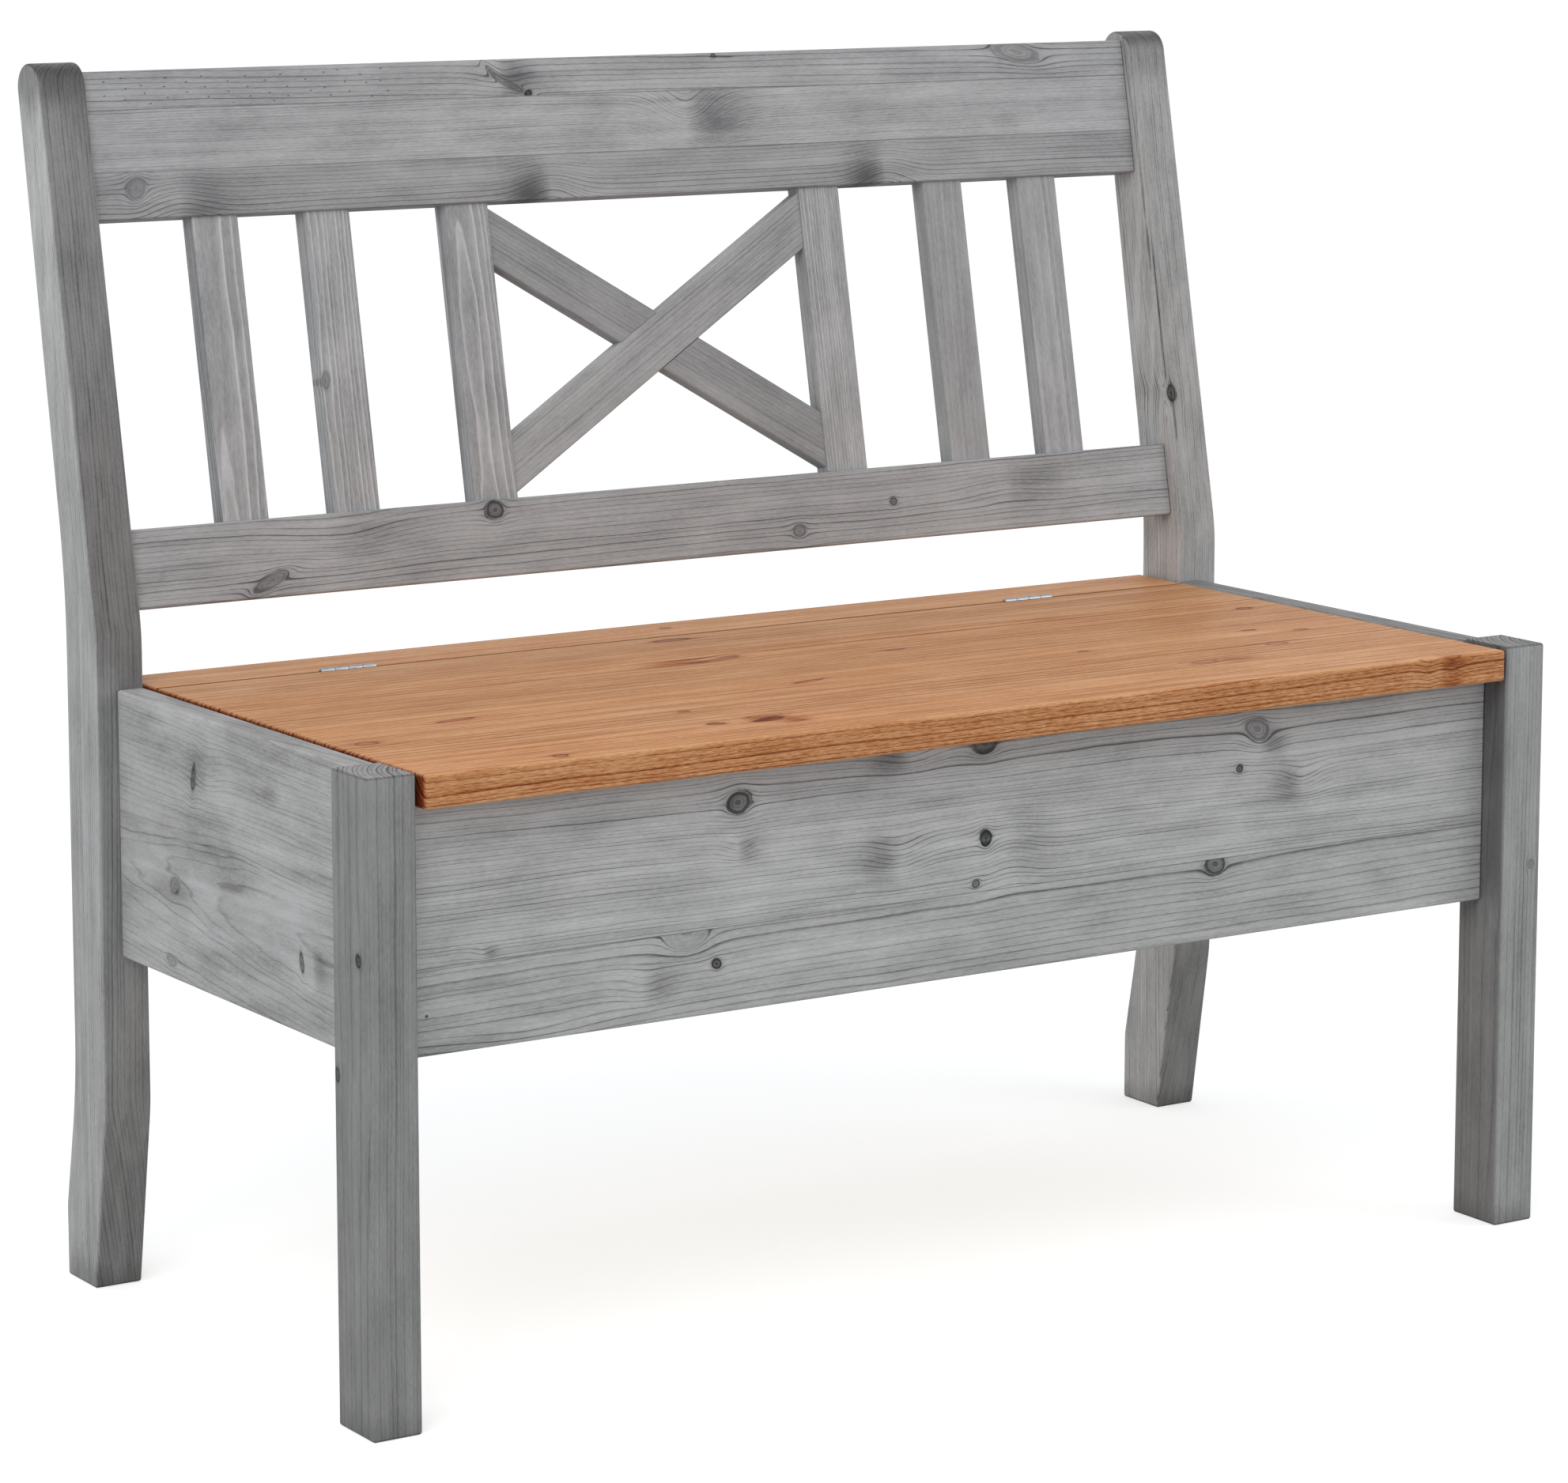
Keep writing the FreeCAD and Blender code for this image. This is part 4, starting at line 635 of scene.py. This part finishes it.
add(tree, "OutputMaterial", [add(tree, "BsdfPrincipled", {
    "Base Color": add(tree, "ValToRGB", [rolled], stops=((0.3, linear("#969ca4")), (0.7, linear("#c4c8cc")))),
    "Metallic": 1.0, "Roughness": add(tree, "MapRange", [rolled, 0.3, 0.7, 0.24, 0.38]),
    "Normal": add(tree, "Bump", {"Strength": 0.2, "Distance": 0.02 * MM, "Height": rolled})})])


def turned(height, radius, steps):
    """A profile turned about Z: the point (r cos a, r sin a, h) for each height h with its radius r and each
    angle a. A profile from radius 0 to 0 has a pole at each end, any other is closed."""
    height, radius = np.asarray(height, float), np.asarray(radius, float)
    poles = radius[0] == 0
    inner = slice(1, -1) if poles else slice(None)
    r, a = np.meshgrid(radius[inner], np.arange(steps) * 2 * np.pi / steps, indexing="ij")
    points = np.stack([r * np.cos(a), r * np.sin(a), np.repeat(height[inner, None], steps, axis=1)], axis=-1)
    points = points.reshape(-1, 3)
    count = len(r)
    ring, step = np.meshgrid(np.arange(count - 1 if poles else count), np.arange(steps), indexing="ij")
    nearer, farther, onward = ring * steps, (ring + 1) % count * steps, (step + 1) % steps
    faces = np.stack([nearer + step, farther + step, farther + onward, nearer + onward], axis=-1)
    faces = faces.reshape(-1, 4).tolist()
    if poles:
        first, last, end = len(points), len(points) + 1, (count - 1) * steps
        points = np.vstack([points, (0, 0, height[0]), (0, 0, height[-1])])
        faces += [[first, k, (k + 1) % steps] for k in range(steps)]
        faces += [[last, end + (k + 1) % steps, end + k] for k in range(steps)]
    return points, faces


def steel_piece(name, shapes, body, replaced):
    """One new piece from several shapes, each points and faces, riding on a body in place of a CAD node."""
    points, faces = [], []
    for shape_points, shape_faces in shapes:
        start = sum(map(len, points))
        faces += [[start + corner for corner in face] for face in shape_faces]
        points.append(shape_points)
    mesh = bpy.data.meshes.new(name)
    mesh.from_pydata(np.vstack(points).tolist(), [], faces)
    mesh.shade_smooth()
    mesh.set_sharp_from_angle(angle=SHARP_ANGLE)
    mesh.materials.append(steel)
    piece = bpy.data.objects.new(name, mesh)
    bpy.context.scene.collection.objects.link(piece)
    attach(piece, body)
    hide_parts(replaced)
    return piece


def leaf_plate(own, face_depth, back_depth):
    """The plate: its outline in x and z, with a notch for each of the other leaf's knuckles, carried
    through the sheet's thickness in y."""
    low, high = sorted((face_depth, back_depth))
    outline = [(-HINGE_LENGTH / 2, -LEAF_HEIGHT), (HINGE_LENGTH / 2, -LEAF_HEIGHT)]
    for number in reversed(range(KNUCKLES)):
        right = -HINGE_LENGTH / 2 + (number + 1) * PITCH
        left = right - PITCH
        if number in own:
            right, left = right - KNUCKLE_GAP / 2, left + KNUCKLE_GAP / 2
            outline += [(right, -NOTCH), (right, 0), (left, 0), (left, -NOTCH)]
        else:
            outline += [(right, -NOTCH), (left, -NOTCH)]
    count = len(outline)
    x, z = np.array(outline).T
    points = np.concatenate([np.stack([x, np.full(count, depth), z], axis=-1) for depth in (low, high)])
    faces = [list(range(count)), list(reversed(range(count, 2 * count)))]
    faces += [[k, k + count, (k + 1) % count + count, (k + 1) % count] for k in range(count)]
    return points, faces


def knuckle():
    """A rolled knuckle about Z: its bore, and an outside whose ends are rounded by a quarter circle."""
    half = (PITCH - KNUCKLE_GAP) / 2
    quarter = np.linspace(0, np.pi / 2, 5)
    end, rounded = half - KNUCKLE_ROUND * (1 - np.cos(quarter)), KNUCKLE_ROUND * (1 - np.sin(quarter))
    height = np.concatenate([[half], end, -end[::-1], [-half]])
    radius = np.concatenate([[BORE_RADIUS], KNUCKLE_RADIUS - rounded, KNUCKLE_RADIUS - rounded[::-1],
                             [BORE_RADIUS]])
    return turned(height, radius, KNUCKLE_STEPS)


knuckle_points, knuckle_faces = knuckle()
for side, middle in HINGE_MIDDLES.items():
    for body, own, outward in (("frame", (0, 2), 1), ("lid", (1, 3), -1)):
        face_depth = outward * LEAF_FACE
        shapes = [leaf_plate(own, face_depth, face_depth + outward * LEAF_THICKNESS)]
        for number in own:
            start = -HINGE_LENGTH / 2 + (number + 0.5) * PITCH
            shapes.append((knuckle_points[:, (2, 0, 1)] + (start, 0, 0), knuckle_faces))
        shapes = [(points + (middle, PIN_DEPTH, PIN_HEIGHT), faces) for points, faces in shapes]
        piece = steel_piece(f"{side}_{body}_leaf_rolled", shapes, body, f"{side}_hinge_{body}_leaf")
        softened = piece.modifiers.new("stamped_edges", "BEVEL")
        softened.width = STAMPED_ROUND
        softened.segments = 2
        softened.limit_method = "ANGLE"
        softened.angle_limit = STAMPED_ANGLE
    paint(nodes[f"{side}_hinge_pin"], steel)

# Screws. Zinc plated wood screws with a cross recess: countersunk ones flush in the hinge leaves, pan heads
# that draw the cleats to the panels and the battens to the lid.
RECESS_ARM, RECESS_HALF_WIDTH, RECESS_DEPTH, RECESS_SLOPE = 1.9 * MM, 0.55 * MM, 1.1 * MM, 0.3 * MM
HEAD_TOP, CROWN_SHARE, TIP_LENGTH = 1 * MM, 0.94, 3 * MM
SCREW_STEPS, CROWN_RINGS = 48, 14
PAN_HEIGHT, PAN_RADIUS = 2.4 * MM, 3.5 * MM
HINGE_SCREW_PLACES, SCREWS_BELOW_PIN = (-16 * MM, 0, 16 * MM), 12 * MM


def cross_recess(x, y):
    """Depth of the driver's recess: two crossed slots whose walls slope in to a flat bottom."""
    slots = [np.clip((RECESS_ARM - abs(a)) / (3 * RECESS_SLOPE), 0, 1)
             * np.clip((RECESS_HALF_WIDTH - abs(b)) / RECESS_SLOPE, 0, 1) for a, b in ((x, y), (y, x))]
    return RECESS_DEPTH * np.maximum(*slots)


def screw(head_radius, crown, rim_depth, seat_depth, seat_radius, shank_radius, length):
    """A screw from its head's top at 0 downwards: a crown h = -crown (r / R)^2 with the recess sunk in it, a
    rim, the seat under the head, the shank and the tip."""
    top = np.linspace(0, head_radius * CROWN_SHARE, CROWN_RINGS)
    height = [*(-crown * (top / head_radius) ** 2), -rim_depth, -seat_depth, -seat_depth,
              -length + TIP_LENGTH, -length]
    radius = [*top, head_radius, seat_radius, shank_radius, shank_radius, 0]
    points, faces = turned(height, radius, SCREW_STEPS)
    on_top = points[:, 2] > -HEAD_TOP
    points[:, 2] -= cross_recess(points[:, 0], points[:, 1]) * on_top
    return points, faces


def driven(shape, places, outward):
    """A screw's shape at each place, its head looking outward."""
    points, faces = shape
    turn = np.array(Vector(outward).to_track_quat("Z", "Y").to_matrix())
    return [(points @ turn.T + np.array(place), faces) for place in places]


countersunk = screw(head_radius=2.75 * MM, crown=0.06 * MM, rim_depth=0.12 * MM, seat_depth=1.2 * MM,
                    seat_radius=1.4 * MM, shank_radius=1.4 * MM, length=15 * MM)
for body, outward in (("frame", 1), ("lid", -1)):
    places = [(middle + place, PIN_DEPTH + outward * LEAF_FACE, PIN_HEIGHT - SCREWS_BELOW_PIN)
              for middle in HINGE_MIDDLES.values() for place in HINGE_SCREW_PLACES]
    steel_piece(f"{body}_leaf_cross_screws", driven(countersunk, places, (0, -outward, 0)), body,
                f"hinge_{body}_screws")
pan_head = screw(head_radius=PAN_RADIUS, crown=0.6 * MM, rim_depth=1 * MM, seat_depth=PAN_HEIGHT,
                 seat_radius=PAN_RADIUS, shank_radius=1.75 * MM, length=37 * MM)
BATTEN_SHARES = (0.12, 0.5, 0.88)
LONG_CLEAT_SHARES, SHORT_CLEAT_SHARES = (-0.4, -0.13, 0.13, 0.4), (-0.3, 0.3)
batten_places = []
for node in ("left_batten", "right_batten"):
    low, high = map(Vector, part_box(node))
    batten_places += [((low.x + high.x) / 2, low.y + share * (high.y - low.y), low.z - PAN_HEIGHT)
                      for share in BATTEN_SHARES]
steel_piece("batten_cross_screws", driven(pan_head, batten_places, (0, 0, -1)), "lid", "batten_screws")
cleat_shapes = []
for node, outward, shares in (
        ("front_cleat", ALONG_Y, LONG_CLEAT_SHARES), ("rear_cleat", -ALONG_Y, LONG_CLEAT_SHARES),
        ("left_cleat", ALONG_X, SHORT_CLEAT_SHARES), ("right_cleat", -ALONG_X, SHORT_CLEAT_SHARES)):
    low, high = map(Vector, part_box(node))
    span = high - low
    face = middle_of(node) + outward * (abs(span.dot(outward)) / 2 + PAN_HEIGHT)
    run = ALONG_X * span.x if outward.x == 0 else ALONG_Y * span.y
    cleat_shapes += driven(pan_head, [face + run * share for share in shares], outward)
steel_piece("cleat_cross_screws", cleat_shapes, "frame", "cleat_screws")

# Studio. A pale floor that runs out of the picture, lifted towards white for the camera alone, a white
# surround, and three large soft lamps: one on each side in front, and one on the left.
FLOOR_HALF, FLOOR_LIFT, AIR_LEVEL = 30.0, 0.58, 0.62
floor_mesh = bpy.data.meshes.new("studio_floor")
floor_mesh.from_pydata([(-FLOOR_HALF, -FLOOR_HALF, 0), (FLOOR_HALF, -FLOOR_HALF, 0),
                        (FLOOR_HALF, FLOOR_HALF, 0), (-FLOOR_HALF, FLOOR_HALF, 0)], [], [(0, 1, 2, 3)])
floor = bpy.data.objects.new("studio_floor", floor_mesh)
bpy.context.scene.collection.objects.link(floor)
floor_paint = bpy.data.materials.new("studio_white")
tree = tree_of(floor_paint)
lift = add(tree, "Math", [add(tree, "LightPath").outputs["Is Camera Ray"], FLOOR_LIFT], operation="MULTIPLY")
add(tree, "OutputMaterial", [add(tree, "AddShader", [
    add(tree, "BsdfDiffuse", {"Color": linear("#dadde0")}),
    add(tree, "Emission", {"Color": (1, 1, 1, 1), "Strength": lift})])])
paint(floor, floor_paint)

world = bpy.data.worlds.new("studio_air")
bpy.context.scene.world = world
tree = tree_of(world)
rays = add(tree, "LightPath")
shown = add(tree, "Math", [rays.outputs["Is Camera Ray"], rays.outputs["Is Glossy Ray"]], operation="MAXIMUM")
shown = add(tree, "Math", [shown, rays.outputs["Is Transmission Ray"]], operation="MAXIMUM")
level = add(tree, "MapRange", [shown, 0, 1, AIR_LEVEL, 1.0])
add(tree, "OutputWorld", [add(tree, "Background", [(1, 1, 1, 1), level])])

LAMPS_AIM = Vector((0, 0, 0.4))
for name, where, size, power in (("key", (-2.6, -2.4, 3.2), 2.4, 48.0), ("fill", (2.8, -2.6, 2.2), 2.4, 18.0),
                                 ("side", (-3.4, 0.0, 0.9), 2.2, 20.0)):
    lamp = bpy.data.lights.new("studio_" + name, "AREA")
    lamp.shape = "DISK"
    lamp.size = size
    lamp.energy = power
    stand = bpy.data.objects.new("studio_" + name, lamp)
    stand.location = where
    stand.rotation_euler = (LAMPS_AIM - Vector(where)).to_track_quat("-Z", "Y").to_euler()
    bpy.context.scene.collection.objects.link(stand)

# Camera. It stands where the photograph was taken from, on the left in front of the bench and above its
# seat, and looks a little down; the lens is shifted, so that its axis meets the picture above the middle.
PICTURE_WIDTH, FOCAL_PIXELS = 1983, 6466.8
LOOKS_DOWN, TURNED_RIGHT = math.radians(8.675), math.radians(32.859)
camera = bpy.data.cameras.new("camera")
camera.sensor_width = 36
camera.lens = FOCAL_PIXELS / PICTURE_WIDTH * camera.sensor_width
camera.shift_y = -0.1
camera.clip_end = 100
tripod = bpy.data.objects.new("camera", camera)
tripod.location = (-2.194, -3.374, 1.152)
tripod.rotation_euler = Euler((math.pi / 2 - LOOKS_DOWN, 0, -TURNED_RIGHT))
bpy.context.scene.collection.objects.link(tripod)
bpy.context.scene.camera = tripod
bpy.context.scene.view_settings.view_transform = "Standard"
